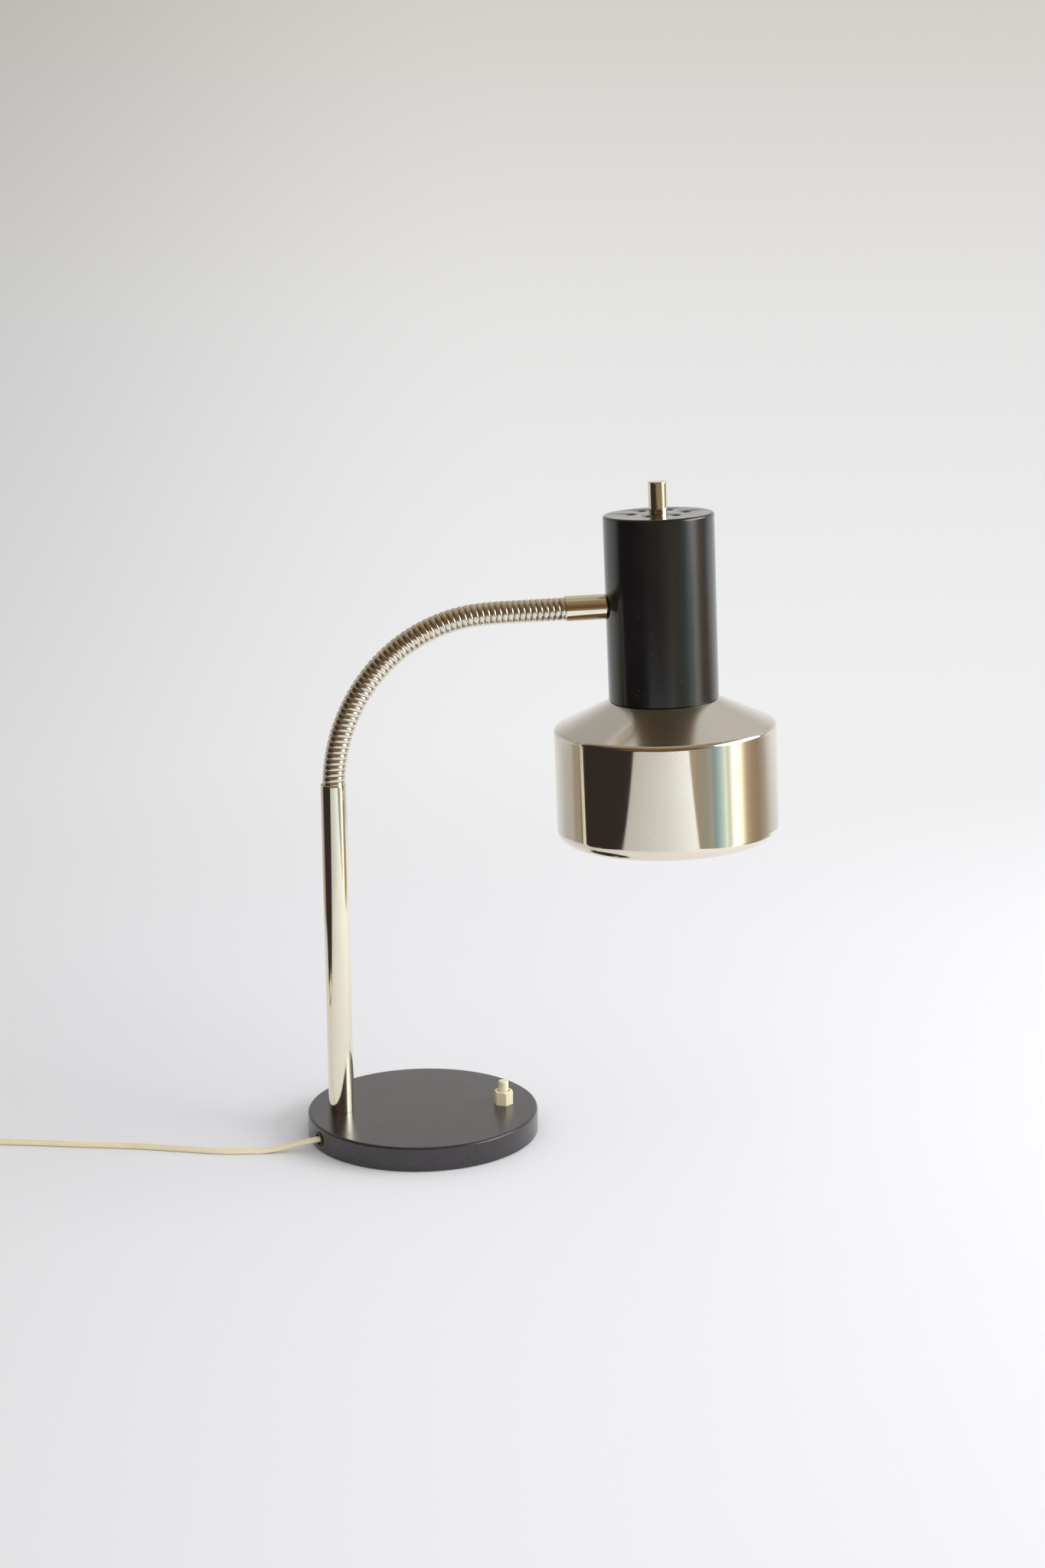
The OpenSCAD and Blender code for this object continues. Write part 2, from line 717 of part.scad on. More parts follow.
module switch_bush() {
    color("#d9d2be")
    at_switch() translate([0, 0, ceiling_z]) washer(bush_d / 2, nut_top - 1.5 - ceiling_z, guide_r);
}

module switch_nut() {
    crown = 1.2;
    color("#e9e2c8")
    at_switch() rotate([0, 0, 10]) difference() {
        translate([0, 0, base_h]) intersection() {
            hex(nut_flats, nut_h);
            cylinder(r = nut_flats / 2 + crown, h = nut_h);
            cylinder(r1 = nut_flats / 2 + nut_h, r2 = nut_flats / 2 - 0.3, h = nut_h + 0.01);
        }
        translate([0, 0, base_h - 1]) cylinder(r = bush_d / 2 + thread_gap, h = nut_h + 2);
    }
}

module switch_tags() {
    color("#c9a24a")
    at_switch() difference() {
        for (s = [-1, 1]) translate([-switch_body_r - 5, s * 3.5 - 2, floor_z + 2.4]) cube([8, 4, 0.8]);
        translate([0, 0, floor_z]) cylinder(r = switch_body_r + seat_gap, h = 6);
    }
}

module switch_button() {
    rim = 1.6;
    color("#e9e2c8")
    at_switch() rotate_extrude() polygon(concat(
        [[0, chamber_top - collar_t - 2.6], [2.4, chamber_top - collar_t - 2.6], [2.4, chamber_top - collar_t],
         [collar_r, chamber_top - collar_t], [collar_r, chamber_top - 0.1], [button_r, chamber_top - 0.1]],
        arc([button_r - rim, button_top - 0.6 - rim], rim, 0, 60),
        [[0, button_top]]));
}

module button_spring() {
    foot = chamber_floor;
    top = chamber_top - collar_t;
    n = 6;
    step = (top - foot) / n;
    color("#b5b5b8")
    at_switch() rotate_extrude() polygon(concat(
        [for (i = [0:n]) [spring_r - (i % 2) * spring_wire, foot + i * step]],
        [for (i = [n:-1:0]) [spring_r - spring_wire - (i % 2) * spring_wire, foot + i * step]]));
}

// ------------------------------------------------- wiring inside the base

terminal_x = -20;
terminal = [18, 15, 8];
wire_z = floor_z + 3.8;

module terminal_block() {
    color("#efe9da")
    translate([terminal_x, 0, floor_z]) difference() {
        translate([-terminal[0] / 2, -terminal[1] / 2, 0]) cube(terminal);
        for (s = [-1, 1]) {
            translate([-terminal[0], s * 3.5, wire_z - floor_z]) rotate([0, 90, 0]) cylinder(r = 1.5, h = 2 * terminal[0]);
            for (x = [-4.5, 4.5]) translate([x, s * 3.5, terminal[2] - 2.5]) cylinder(r = 1.4, h = 3);
        }
    }
}

module inner_leads() {
    lead_r = 0.9;
    left = terminal_x - terminal[0] / 2 + 1;
    right = terminal_x + terminal[0] / 2 - 1;
    tag_x = switch_x - switch_body_r - 5.6;
    color("#c9b98c")
    for (s = [-1, 1]) {
        swept([[right, s * 3.5, wire_z], [right + 6, s * 4.5, wire_z - 0.8], [5, s * 6, 4.8],
               [25, s * 6, 4.8], [tag_x, s * 3.5, floor_z + 2.8]], lead_r, lead_r);
        swept([[-upright_offset + 1.6, s * 1.3, foot_stem_end - 1], [-46, s * 2, 5], [-39, s * 3, 5],
               [left, s * 3.5, wire_z]], lead_r, lead_r);
        swept([[-37.8 - s * 0.5, -17.4 + s * 1.2, 5.2], [-35 - s * 0.5, -16.1 + s * 1.2, 5.2],
               [-21 - s * 3, -10, 6], [-21 - s * 3, -7.6, wire_z]], lead_r, lead_r);
    }
}

// Rubber bush in the wall of the base, where the cord leaves it
module cord_bush() {
    flange_r = cord_hole_r + 1.2;
    color("#5a4636")
    at_cord() translate([base_r, 0, cord_z]) rotate([0, 90, 0]) rotate_extrude() polygon([
        [cord_bore_r, -cover_wall - 1.6], [flange_r, -cover_wall - 1.6], [flange_r, -cover_wall - 0.3],
        [cord_hole_r - seat_gap, -cover_wall - 0.3], [cord_hole_r - seat_gap, 0.05],
        [flange_r - 0.4, 0.05], [flange_r - 0.4, 0.5], [cord_bore_r + 0.6, 1], [cord_bore_r, 0.9]]);
}

// Saddle that holds the cord down on the bottom plate
module cord_clamp() {
    size = [8, 20, 5.4];
    color("#efe9da")
    at_cord() translate([clamp_r, 0, floor_z]) difference() {
        translate([-size[0] / 2, -size[1] / 2, 0]) cube(size);
        translate([-size[0], -flex_w / 2 - 0.3, -1]) cube([2 * size[0], flex_w + 0.6, 2.5 + flex_t + 0.3]);
        for (s = [-1, 1]) translate([0, s * 6.5, -1]) cylinder(r = 1.5 + hole_gap, h = size[2] + 2);
    }
}

module clamp_screws() {
    color("#9a9a9a")
    at_cord() for (s = [-1, 1]) translate([clamp_r, s * 6.5, floor_z]) {
        cylinder(r = 1.5, h = 5.5);
        translate([0, 0, 5.4]) cylinder(r = 2.8, h = 1.8);
    }
}

// ------------------------------------------------------------- supply cord

module supply_cord() {
    color("#e6dcb8") {
        swept(cord_points, flex_w / 2, flex_t / 2);
        swept(plug_points, flex_w / 2, flex_t / 2);
    }
}

module cord_coil() {
    bevel = 2;
    r = coil_r;
    color("#e6dcb8")
    translate([coil_centre[0], coil_centre[1], coil_z]) rotate_extrude() polygon([
        [r - coil_half + bevel, 0], [r + coil_half - bevel, 0], [r + coil_half, bevel],
        [r + coil_half, coil_h - bevel], [r + coil_half - bevel, coil_h], [r - coil_half + bevel, coil_h],
        [r - coil_half, coil_h - bevel], [r - coil_half, bevel]]);
}

module coil_tie() {
    gap = 0.1;
    wall = 0.7;
    half = coil_half + gap;
    color("#222222")
    translate([coil_centre[0], coil_centre[1] - coil_r, coil_z + coil_h / 2]) difference() {
        cube([4, 2 * (half + wall), coil_h + 2 * (gap + wall)], center = true);
        cube([5, 2 * half, coil_h + 2 * gap], center = true);
    }
}

// Two-pin plug lying flat beside the coil, its pins away from the cord
module plug_body() {
    nose_w = 34;
    tail_w = 16;
    thick = 13.6;
    color("#e6dcb8")
    translate([plug_points[0][0], plug_y, plug_z]) {
        difference() {
            union() {
                hull() for (s = [-1, 1], t = [-1, 1]) {
                    translate([s * (nose_w / 2 - 3), -plug_len + 3, t * (thick / 2 - 3)]) sphere(r = 3, $fn = 24);
                    translate([s * (tail_w / 2 - 3), -3, t * (thick / 2 - 3)]) sphere(r = 3, $fn = 24);
                }
                translate([0, -1, 0]) rotate([-90, 0, 0]) cylinder(r1 = 5.2, r2 = 3.8, h = relief_len + 1);
            }
            translate([0, relief_len - 4, 0]) rotate([-90, 0, 0]) cylinder(r = 2.9, h = 6);
        }
    }
}

module plug_pins() {
    pin_len = 19;
    color("#c8c8cc")
    translate([plug_points[0][0], plug_y - plug_len, plug_z])
        for (s = [-1, 1]) translate([s * 9.3, 0, 0]) rotate([90, 0, 0]) cylinder(r = 2, h = pin_len);
}

base_cover();
base_weight();
base_plate();
base_felt();
plate_screws();
upright_tube();
tube_foot_plug();
tube_washer();
tube_nut();
neck_socket();
cord_bush();
cord_clamp();
clamp_screws();
terminal_block();
inner_leads();
switch_body();
switch_bush();
switch_nut();
switch_tags();
switch_button();
button_spring();
neck_link_01();
neck_link_02();
neck_link_03();
neck_link_04();
neck_link_05();
neck_link_06();
neck_link_07();
neck_link_08();
neck_link_09();
neck_link_10();
neck_link_11();
neck_link_12();
neck_link_13();
neck_link_14();
neck_cable();
neck_sleeve();
side_stem();
side_washer();
side_nut();
socket_housing();
handle();
handle_nut();
holder_strap();
head_lead();
holder_cap();
holder_skirt();
holder_insert();
screw_shell();
centre_contact();
shade();
shade_ring();
bulb_glass();
bulb_cap();
supply_cord();
cord_coil();
coil_tie();
plug_body();
plug_pins();
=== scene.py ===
import math

import bmesh
import bpy
from mathutils import Matrix, Vector


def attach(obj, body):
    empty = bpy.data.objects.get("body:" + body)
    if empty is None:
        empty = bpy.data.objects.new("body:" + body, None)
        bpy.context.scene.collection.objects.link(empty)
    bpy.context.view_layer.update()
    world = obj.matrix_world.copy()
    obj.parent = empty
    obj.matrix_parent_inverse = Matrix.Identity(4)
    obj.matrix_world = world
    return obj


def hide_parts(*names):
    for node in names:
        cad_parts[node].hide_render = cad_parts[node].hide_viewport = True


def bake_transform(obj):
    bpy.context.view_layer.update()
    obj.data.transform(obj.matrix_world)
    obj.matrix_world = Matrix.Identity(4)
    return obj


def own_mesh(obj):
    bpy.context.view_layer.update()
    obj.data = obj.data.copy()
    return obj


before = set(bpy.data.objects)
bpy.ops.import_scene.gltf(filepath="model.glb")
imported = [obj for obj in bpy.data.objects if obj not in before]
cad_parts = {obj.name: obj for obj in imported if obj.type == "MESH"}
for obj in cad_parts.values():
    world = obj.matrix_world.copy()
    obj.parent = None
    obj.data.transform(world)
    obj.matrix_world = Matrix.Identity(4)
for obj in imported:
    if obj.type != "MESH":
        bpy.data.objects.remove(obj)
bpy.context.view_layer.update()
scene = bpy.context.scene
scene.view_settings.view_transform = "Standard"

# ------------------------------------------------------------------ camera
# A plain lens about 1.6 m in front of the lamp, a little to its left and above
# it, looking slightly down.
lens = bpy.data.cameras.new("camera")
lens.lens = 56.25
lens.sensor_width = 36
yaw, pitch, roll = math.radians(5.258), math.radians(12.819), math.radians(-0.474)
ahead = Vector((math.sin(yaw) * math.cos(pitch), math.cos(yaw) * math.cos(pitch), -math.sin(pitch)))
right = Vector((math.cos(yaw), -math.sin(yaw), 0))
above = right.cross(ahead)
camera = bpy.data.objects.new("camera", lens)
camera.matrix_world = Matrix.Translation((-0.072389, -1.516686, 0.576894)) @ Matrix(
    (right * math.cos(roll) + above * math.sin(roll), above * math.cos(roll) - right * math.sin(roll), -ahead)
).transposed().to_4x4()
scene.collection.objects.link(camera)
scene.camera = camera

# -------------------------------------------------------------- supply cord
# Flat two-core flex in ivory PVC, a groove between its cores. It leaves the rim
# of the base, lies on the table and ends in a tied coil, eight turns laid two by
# two. Sizes here and below are in millimetres.
mm, cord_width, core_radius, core_spread = 0.001, 5.4, 1.4, 1.3
cord_run = [
    (-45, -20.7, 5.2), (-51, -23.4, 5.2), (-57, -26.2, 5.8), (-62, -28.5, 7.2), (-67, -30.8, 8.2),
    (-70.5, -32.2, 8.2), (-74.5, -32.9, 7.8), (-79, -32.7, 6.9), (-84, -32, 5.6), (-88.5, -31.4, 4.3),
    (-93, -30.9, 3.2), (-100, -30.7, 2), (-107, -30.4, 1.5), (-114.5, -30, 1.5), (-122, -29.4, 1.5),
    (-129, -28.4, 1.5), (-143, -24.9, 1.5), (-158, -20.4, 1.5), (-172, -16.3, 1.5), (-187, -12.5, 1.5),
    (-208, -8, 1.5), (-230, -3.7, 1.5), (-245, -0.4, 1.5), (-260, 2.6, 1.5), (-274, 5.3, 1.5),
    (-288, 8, 1.7), (-301, 10.5, 2), (-312, 12.5, 2.25)]
coil_centre = Vector((-322, -20))
coil_turns = [(33.7, 2.25), (28.3, 2.25), (28.3, 5.07), (33.7, 5.07), (33.7, 7.89), (28.3, 7.89),
              (28.3, 10.71), (33.7, 10.71)]
cord_tail = [(-355.7, -20, 10.7), (-355.7, -24, 10.6), (-355.7, -29, 10.2), (-355.7, -34, 9.5),
             (-355.7, -40, 8.3), (-355.7, -45, 7.3), (-355.7, -50, 7)]


def smooth_line(points, step=2.0):
    """Close points on a smooth line through the given ones."""
    line = []
    for i in range(len(points) - 1):
        a, b = Vector(points[i]), Vector(points[i + 1])
        before = Vector(points[i - 1]) if i else a - (b - a)
        after = Vector(points[i + 2]) if i + 2 < len(points) else b + (b - a)
        n = max(1, round((b - a).length / step))
        for k in range(n):
            t = k / n
            line.append(0.5 * (2 * a + (b - before) * t + (2 * before - 5 * a + 4 * b - after) * t * t
                               + (3 * a - before - 3 * b + after) * t ** 3))
    return line + [Vector(points[-1])]


def added(name, data):
    obj = bpy.data.objects.new(name, data)
    scene.collection.objects.link(obj)
    return obj


coil, azimuth, azimuth_step, shift_steps = [], 83.4, 3, 10
for i, (radius, level) in enumerate(coil_turns):
    last = i == len(coil_turns) - 1
    next_radius, next_level = coil_turns[i if last else i + 1]
    plain_steps = 101 if i == 0 or last else 100
    for k in range(plain_steps if last else plain_steps + shift_steps):
        u, a = max(0, k - plain_steps) / shift_steps, math.radians(azimuth)
        t = u * u * (3 - 2 * u)
        r = radius + (next_radius - radius) * t
        coil.append((coil_centre.x + r * math.cos(a), coil_centre.y + r * math.sin(a),
                     level + (next_level - level) * t))
        azimuth += azimuth_step
cord_line = [p * mm for p in smooth_line(cord_run + coil[1:] + cord_tail)]

two_cores = bpy.data.curves.new("two_cores", "CURVE")
lobe = [(core_spread + core_radius * math.cos(math.radians(a)), core_radius * math.sin(math.radians(a)))
        for a in range(-150, 151, 20)]
sheath = two_cores.splines.new("POLY")
sheath.points.add(2 * len(lobe) - 1)
for point, (x, y) in zip(sheath.points, lobe + [(-x, -y) for x, y in lobe]):
    point.co = (x * mm, y * mm, 0, 1)
sheath.use_cyclic_u = True
sheath_object = added("two_cores", two_cores)
route = bpy.data.curves.new("cord_route", "CURVE")
route.dimensions = "3D"
route.twist_mode = "Z_UP"
route.bevel_mode = "OBJECT"
route.bevel_object = sheath_object
route.use_fill_caps = True
way = route.splines.new("POLY")
way.points.add(len(cord_line) - 1)
for point, place in zip(way.points, cord_line):
    point.co = (*place, 1)
route_object = added("cord_route", route)
bpy.context.view_layer.update()
flex_mesh = bpy.data.meshes.new_from_object(route_object.evaluated_get(bpy.context.evaluated_depsgraph_get()))
bpy.data.objects.remove(route_object)
bpy.data.objects.remove(sheath_object)


def closed_up(bm, mesh, angle=35):
    """Merges doubles, turns faces outwards, and shades smooth but for edges sharper than angle."""
    bmesh.ops.remove_doubles(bm, verts=bm.verts, dist=0.0000005)
    bmesh.ops.recalc_face_normals(bm, faces=bm.faces)
    bm.to_mesh(mesh)
    bm.free()
    for face in mesh.polygons:
        face.use_smooth = True
    mesh.set_sharp_from_angle(angle=math.radians(angle))


shape = bmesh.new()
shape.from_mesh(flex_mesh)
closed_up(shape, flex_mesh, 50)
flex = added("flex", flex_mesh)


def put(tree, kind, given=None, **settings):
    """Adds a node to a tree. given holds its inputs by name or number, as values or as outputs to join on."""
    node = tree.nodes.new(kind if kind.startswith("NodeGroup") else "ShaderNode" + kind)
    for key, value in settings.items():
        setattr(node, key, value)
    for key, value in (given or {}).items():
        if isinstance(value, bpy.types.NodeSocket):
            tree.links.new(value, node.inputs[key])
        else:
            node.inputs[key].default_value = value
    return node


def ranged(tree, value, low, high, to_low=0.0, to_high=1.0, kind="LINEAR"):
    """Takes low..high of a value to to_low..to_high."""
    return put(tree, "MapRange", {"Value": value, "From Min": low, "From Max": high, "To Min": to_low,
                                  "To Max": to_high}, interpolation_type=kind).outputs["Result"]


def eased(tree, value, low, high):
    """Takes low..high of a value to 0..1 with soft ends."""
    return ranged(tree, value, low, high, kind="SMOOTHSTEP")


def maths(tree, operation, a, b=0.0):
    return put(tree, "Math", {0: a, 1: b}, operation=operation).outputs["Value"]


def times(tree, a, b):
    return maths(tree, "MULTIPLY", a, b)


def laid_over(tree, factor, under, over):
    """Colour over shown on colour under where factor is 1."""
    return put(tree, "Mix", {0: factor, 6: under, 7: over}, data_type="RGBA").outputs[2]


def surface(name, colour, roughness, metallic=0.0, coat=0.0):
    """A material and its shader. What varies over the surface is joined on beside the piece that has it."""
    material = bpy.data.materials.new(name)
    material.use_nodes = True
    shader = material.node_tree.nodes["Principled BSDF"]
    shader.inputs["Base Color"].default_value = (*colour, 1)
    shader.inputs["Roughness"].default_value = roughness
    shader.inputs["Metallic"].default_value = metallic
    shader.inputs["Coat Weight"].default_value = coat
    return material, material.node_tree, shader


def relief(tree, shader, height, depth, strength=1.0):
    bump = put(tree, "Bump", {"Height": height, "Distance": depth, "Strength": strength})
    tree.links.new(bump.outputs["Normal"], shader.inputs["Normal"])


def on_piece(tree, centre=None, turn=(0, 0, 0)):
    """Places on the piece, in metres, or about a centre and axis of its own."""
    spot = put(tree, "TexCoord").outputs["Object"]
    if centre is None:
        return spot
    return put(tree, "Mapping", {"Vector": spot, "Location": centre, "Rotation": turn},
               vector_type="TEXTURE").outputs["Vector"]


def grained(tree, scale, **more):
    """Fine noise over the piece, by its scale and the noise's other inputs."""
    return put(tree, "TexNoise", {"Vector": on_piece(tree), "Scale": scale, **more}).outputs["Fac"]


# What years of handling leave on any finish: soft blotches, hairlines, specks
handling = bpy.data.node_groups.new("handling", "ShaderNodeTree")
handling.interface.new_socket("Place", in_out="INPUT", socket_type="NodeSocketVector")
handling.interface.new_socket("Blotch scale", in_out="INPUT", socket_type="NodeSocketFloat")
for socket in ("Blotches", "Hairlines", "Specks"):
    handling.interface.new_socket(socket, in_out="OUTPUT", socket_type="NodeSocketFloat")
given, wanted = put(handling, "NodeGroupInput").outputs, put(handling, "NodeGroupOutput").inputs
cloud = put(handling, "TexNoise", {"Vector": given["Place"], "Scale": given["Blotch scale"], "Detail": 4.0,
                                   "Roughness": 0.62, "Distortion": 0.4})
handling.links.new(ranged(handling, cloud.outputs["Fac"], 0.32, 0.68), wanted["Blotches"])
drawn = put(handling, "Mapping", {"Vector": given["Place"], "Rotation": (0.5, 0.35, 0.8),
                                  "Scale": (1500.0, 70.0, 110.0)})
hair = put(handling, "TexNoise", {"Vector": drawn.outputs["Vector"], "Scale": 1.0, "Detail": 1.0})
handling.links.new(ranged(handling, hair.outputs["Fac"], 0.70, 0.80), wanted["Hairlines"])
speck = put(handling, "TexVoronoi", {"Vector": given["Place"], "Scale": 260.0})
chance = put(handling, "TexNoise", {"Vector": given["Place"], "Scale": 90.0})
handling.links.new(times(handling, ranged(handling, speck.outputs["Distance"], 0.11, 0.05),
                         ranged(handling, chance.outputs["Fac"], 0.5, 0.62)), wanted["Specks"])


def handled(tree, blotch_scale):
    """The marks on one finish: its blotches, hairlines and specks."""
    marks = put(tree, "Group", node_tree=handling)
    tree.links.new(on_piece(tree), marks.inputs["Place"])
    marks.inputs["Blotch scale"].default_value = blotch_scale
    return [marks.outputs[name] for name in ("Blotches", "Hairlines", "Specks")]


def tinted(tree, shader, factor, under, over):
    """Joins on a colour that goes from under to over with a factor."""
    tree.links.new(laid_over(tree, factor, (*under, 1), (*over, 1)), shader.inputs["Base Color"])


def worn(tree, shader, factor, low, high):
    """Joins on a roughness that goes from low to high with a factor."""
    tree.links.new(ranged(tree, factor, 0, 1, low, high), shader.inputs["Roughness"])


def mottled(tree, shader, blotch_scale, under, over, low, high):
    """Colour and roughness of a handled finish by its blotches. Returns its marks."""
    marks = handled(tree, blotch_scale)
    tinted(tree, shader, marks[0], under, over)
    worn(tree, shader, marks[0], low, high)
    return marks


def marked(tree, shader, marks, share, under, colour):
    """Joins on the colour under, with a share of the marks' colour laid over it."""
    mixed = laid_over(tree, times(tree, marks, share), under, (*colour, 1))
    tree.links.new(mixed, shader.inputs["Base Color"])


ivory_pvc, tree, shader = surface("ivory_pvc", (0.88, 0.79, 0.53), 0.42)
blotches, _, specks = handled(tree, 45.0)
aged = laid_over(tree, blotches, (0.84, 0.745, 0.48, 1), (0.91, 0.83, 0.58, 1))
marked(tree, shader, specks, 0.5, aged, (0.32, 0.26, 0.17))
worn(tree, shader, blotches, 0.36, 0.52)
relief(tree, shader, grained(tree, 1400.0, Detail=2.0), 0.00004, 0.5)
flex_mesh.materials.clear()
flex_mesh.materials.append(ivory_pvc)
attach(flex, "base")
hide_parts("supply_cord", "cord_coil")

# ------------------------------------------------------------ tie and plug
# A black plastic tie round the coil. A two-pin plug moulded in the same ivory
# PVC, with a ribbed sleeve on the cord, a grip on each side and plated pins.


def rounded(*corners, steps=6, closed=False):
    """Outline in radius and height through corners (r, z, rounding), with a short straight beside each arc."""
    line = []
    for i, (x, z, r) in enumerate(corners):
        here = Vector((x, z))
        if not r or (not closed and i in (0, len(corners) - 1)):
            line.append(here)
            continue
        a = (Vector(corners[i - 1][:2]) - here).normalized()
        b = (Vector(corners[(i + 1) % len(corners)][:2]) - here).normalized()
        half = a.angle(b) / 2
        centre = here + (a + b).normalized() * r / math.sin(half)
        start, end = here + a * r / math.tan(half), here + b * r / math.tan(half)
        line.append(start + a * min(0.3, 0.3 * r))
        line += [centre + (start - centre).normalized().slerp((end - centre).normalized(), k / steps) * r
                 for k in range(steps + 1)]
        line.append(end + b * min(0.3, 0.3 * r))
    return line


def spun(bm, line, steps=128, closed=False):
    """Turns an outline about the upright axis, as on a lathe."""
    verts = [bm.verts.new((max(x, 0), 0, z)) for x, z in line]
    edges = [bm.edges.new((a, b)) for a, b in zip(verts, verts[1:] + verts[:1] if closed else verts[1:])]
    bmesh.ops.spin(bm, geom=verts + edges, cent=(0, 0, 0), axis=(0, 0, 1), angle=2 * math.pi, steps=steps,
                   use_merge=True, use_duplicate=False)
    bmesh.ops.remove_doubles(bm, verts=bm.verts, dist=0.0005)
    return bm


def made(name, bm, material, body, nodes, place=None, angle=35):
    """Takes a piece from millimetres to its place in metres, and gives it its finish and body."""
    if place is not None:
        bmesh.ops.transform(bm, matrix=place, verts=bm.verts)
    bmesh.ops.scale(bm, vec=(mm,) * 3, verts=bm.verts)
    mesh = bpy.data.meshes.new(name)
    closed_up(bm, mesh, angle)
    mesh.materials.append(material)
    piece = added(name, mesh)
    if body:
        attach(piece, body)
    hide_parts(*nodes)
    return piece


def turned(name, line, material, body, nodes, place=None, steps=128, closed=False):
    """A piece turned from an outline, put in its place."""
    return made(name, spun(bmesh.new(), line, steps, closed), material, body, nodes, place)


def open_edges(bm):
    return [e for e in bm.edges if e.is_boundary]


def rolled(bm, edges, offset, segments):
    """Rounds edges off."""
    bmesh.ops.bevel(bm, geom=edges, offset=offset, segments=segments, profile=0.5, affect="EDGES", material=-1)


tie_plastic, tree, shader = surface("tie_plastic", (0.018, 0.018, 0.018), 0.45)
blotches, _, specks = handled(tree, 90.0)
tinted(tree, shader, specks, (0.018, 0.018, 0.018), (0.07, 0.068, 0.065))
worn(tree, shader, blotches, 0.38, 0.58)
grooves = put(tree, "TexWave", {"Vector": on_piece(tree), "Scale": 260.0}, bands_direction="X")
relief(tree, shader, grooves.outputs["Fac"], 0.0001, 0.6)
bm = bmesh.new()
bmesh.ops.create_cube(bm, size=1, matrix=Matrix.Diagonal((4, 13.1, 12.7, 1)))
bmesh.ops.delete(bm, geom=[f for f in bm.faces if abs(f.normal.x) > 0.5], context="FACES")
rolled(bm, [e for e in bm.edges if not e.is_boundary], 1.6, 5)
bmesh.ops.recalc_face_normals(bm, faces=bm.faces)
bmesh.ops.solidify(bm, geom=bm.faces[:], thickness=0.6)
tie = made("tie_band", bm, tie_plastic, "base", ["coil_tie"],
           Matrix.Translation((-322, -51, 6.5)))

bm = bmesh.new()
bmesh.ops.create_cube(bm, size=1, matrix=Matrix.Diagonal((34, 35, 13.6, 1)))
for v in bm.verts:
    if v.co.y > 0:
        v.co.x *= 16 / 34
rolled(bm, [e for e in bm.edges if abs(e.verts[0].co.y - e.verts[1].co.y) > 1], 4.5, 6)
rolled(bm, [e for e in bm.edges if e.calc_face_angle(0) > 0.9], 1.4, 4)
for sign in (1, -1):
    grip = max(bm.faces, key=lambda f: f.normal.z * sign * f.calc_area())
    bmesh.ops.inset_individual(bm, faces=[grip], thickness=2.2)
    bmesh.ops.inset_individual(bm, faces=[grip], thickness=0.6, depth=-0.6)
plug_x, plug_z = -355.7, 7
plug = made("plug_shell", bm, ivory_pvc, "base", ["plug_body"],
            Matrix.Translation((plug_x, -87.5, plug_z)))
ribs = [(3.05, 0, 0), (3.5, 0, 0.3)]
for k in range(5):
    r, z = 3.85 + 0.27 * k, -3.2 - 3.8 * k
    ribs += [(r, z + 0.7, 0.25), (r - 0.8, z, 0.15), (r - 0.75, z - 1, 0.15), (r + 0.1, z - 1.6, 0.25)]
ribs += [(5.15, -22.5, 0), (3.05, -22.5, 0)]
toward_coil = Matrix.Rotation(math.radians(-90), 4, "X")
sleeved = turned("plug_relief", rounded(*ribs, steps=3, closed=True), ivory_pvc, "base",
                 ["plug_body"], Matrix.Translation((plug_x, -48, plug_z)) @ toward_coil, 48, True)

plated_pin, tree, shader = surface("plated_pin", (0.72, 0.70, 0.66), 0.2, 1.0)
blotches, hairlines, _ = handled(tree, 200.0)
worn(tree, shader, hairlines, 0.18, 0.42)
tinted(tree, shader, blotches, (0.66, 0.63, 0.57), (0.76, 0.74, 0.70))
bm = bmesh.new()
for side in (-9.3, 9.3):
    pin = spun(bmesh.new(), rounded((0, 0, 0), (2, 0, 0.9), (2, 20, 0), (0, 20, 0)), 40)
    bmesh.ops.translate(pin, vec=(side, 0, 0), verts=pin.verts)
    one = bpy.data.meshes.new("one_pin")
    pin.to_mesh(one)
    pin.free()
    bm.from_mesh(one)
    bpy.data.meshes.remove(one)
pins = made("plug_prongs", bm, plated_pin, "base", ["plug_pins"],
            Matrix.Translation((plug_x, -124, plug_z)) @ toward_coil)

# ---------------------------------------------------------- base: cover
# Pressed steel cover in dark satin lacquer, a shallow dish turned over. It has
# a round edge, a hole for the switch in its top and one for the cord in its rim.


def pierce(bm, at, axis, radius, reach, sides=24, depth=6):
    """Cuts a round hole through a wall, about an axis through at. Faces are cut as far round it as reach."""
    at, axis = Vector(at), Vector(axis).normalized()
    across = axis.orthogonal().normalized()

    def near(p, r):
        d = p - at
        return abs(d.dot(axis)) < depth and (d - axis * d.dot(axis)).length < r

    for k in range(sides):
        out = Matrix.Rotation(2 * math.pi * k / sides, 3, axis) @ across
        cut = [f for f in bm.faces if any(near(v.co, reach) for v in f.verts)]
        rims = {e for f in cut for e in f.edges} | {v for f in cut for v in f.verts}
        bmesh.ops.bisect_plane(bm, geom=cut + list(rims), dist=0.0001, plane_no=out,
                               plane_co=at + out * radius * math.cos(math.pi / sides))
    bmesh.ops.delete(bm, geom=[f for f in bm.faces if near(f.calc_center_median(), radius * 0.98)
                               and all(near(v.co, radius * 1.02) for v in f.verts)], context="FACES")
    bmesh.ops.bridge_loops(bm, edges=open_edges(bm))


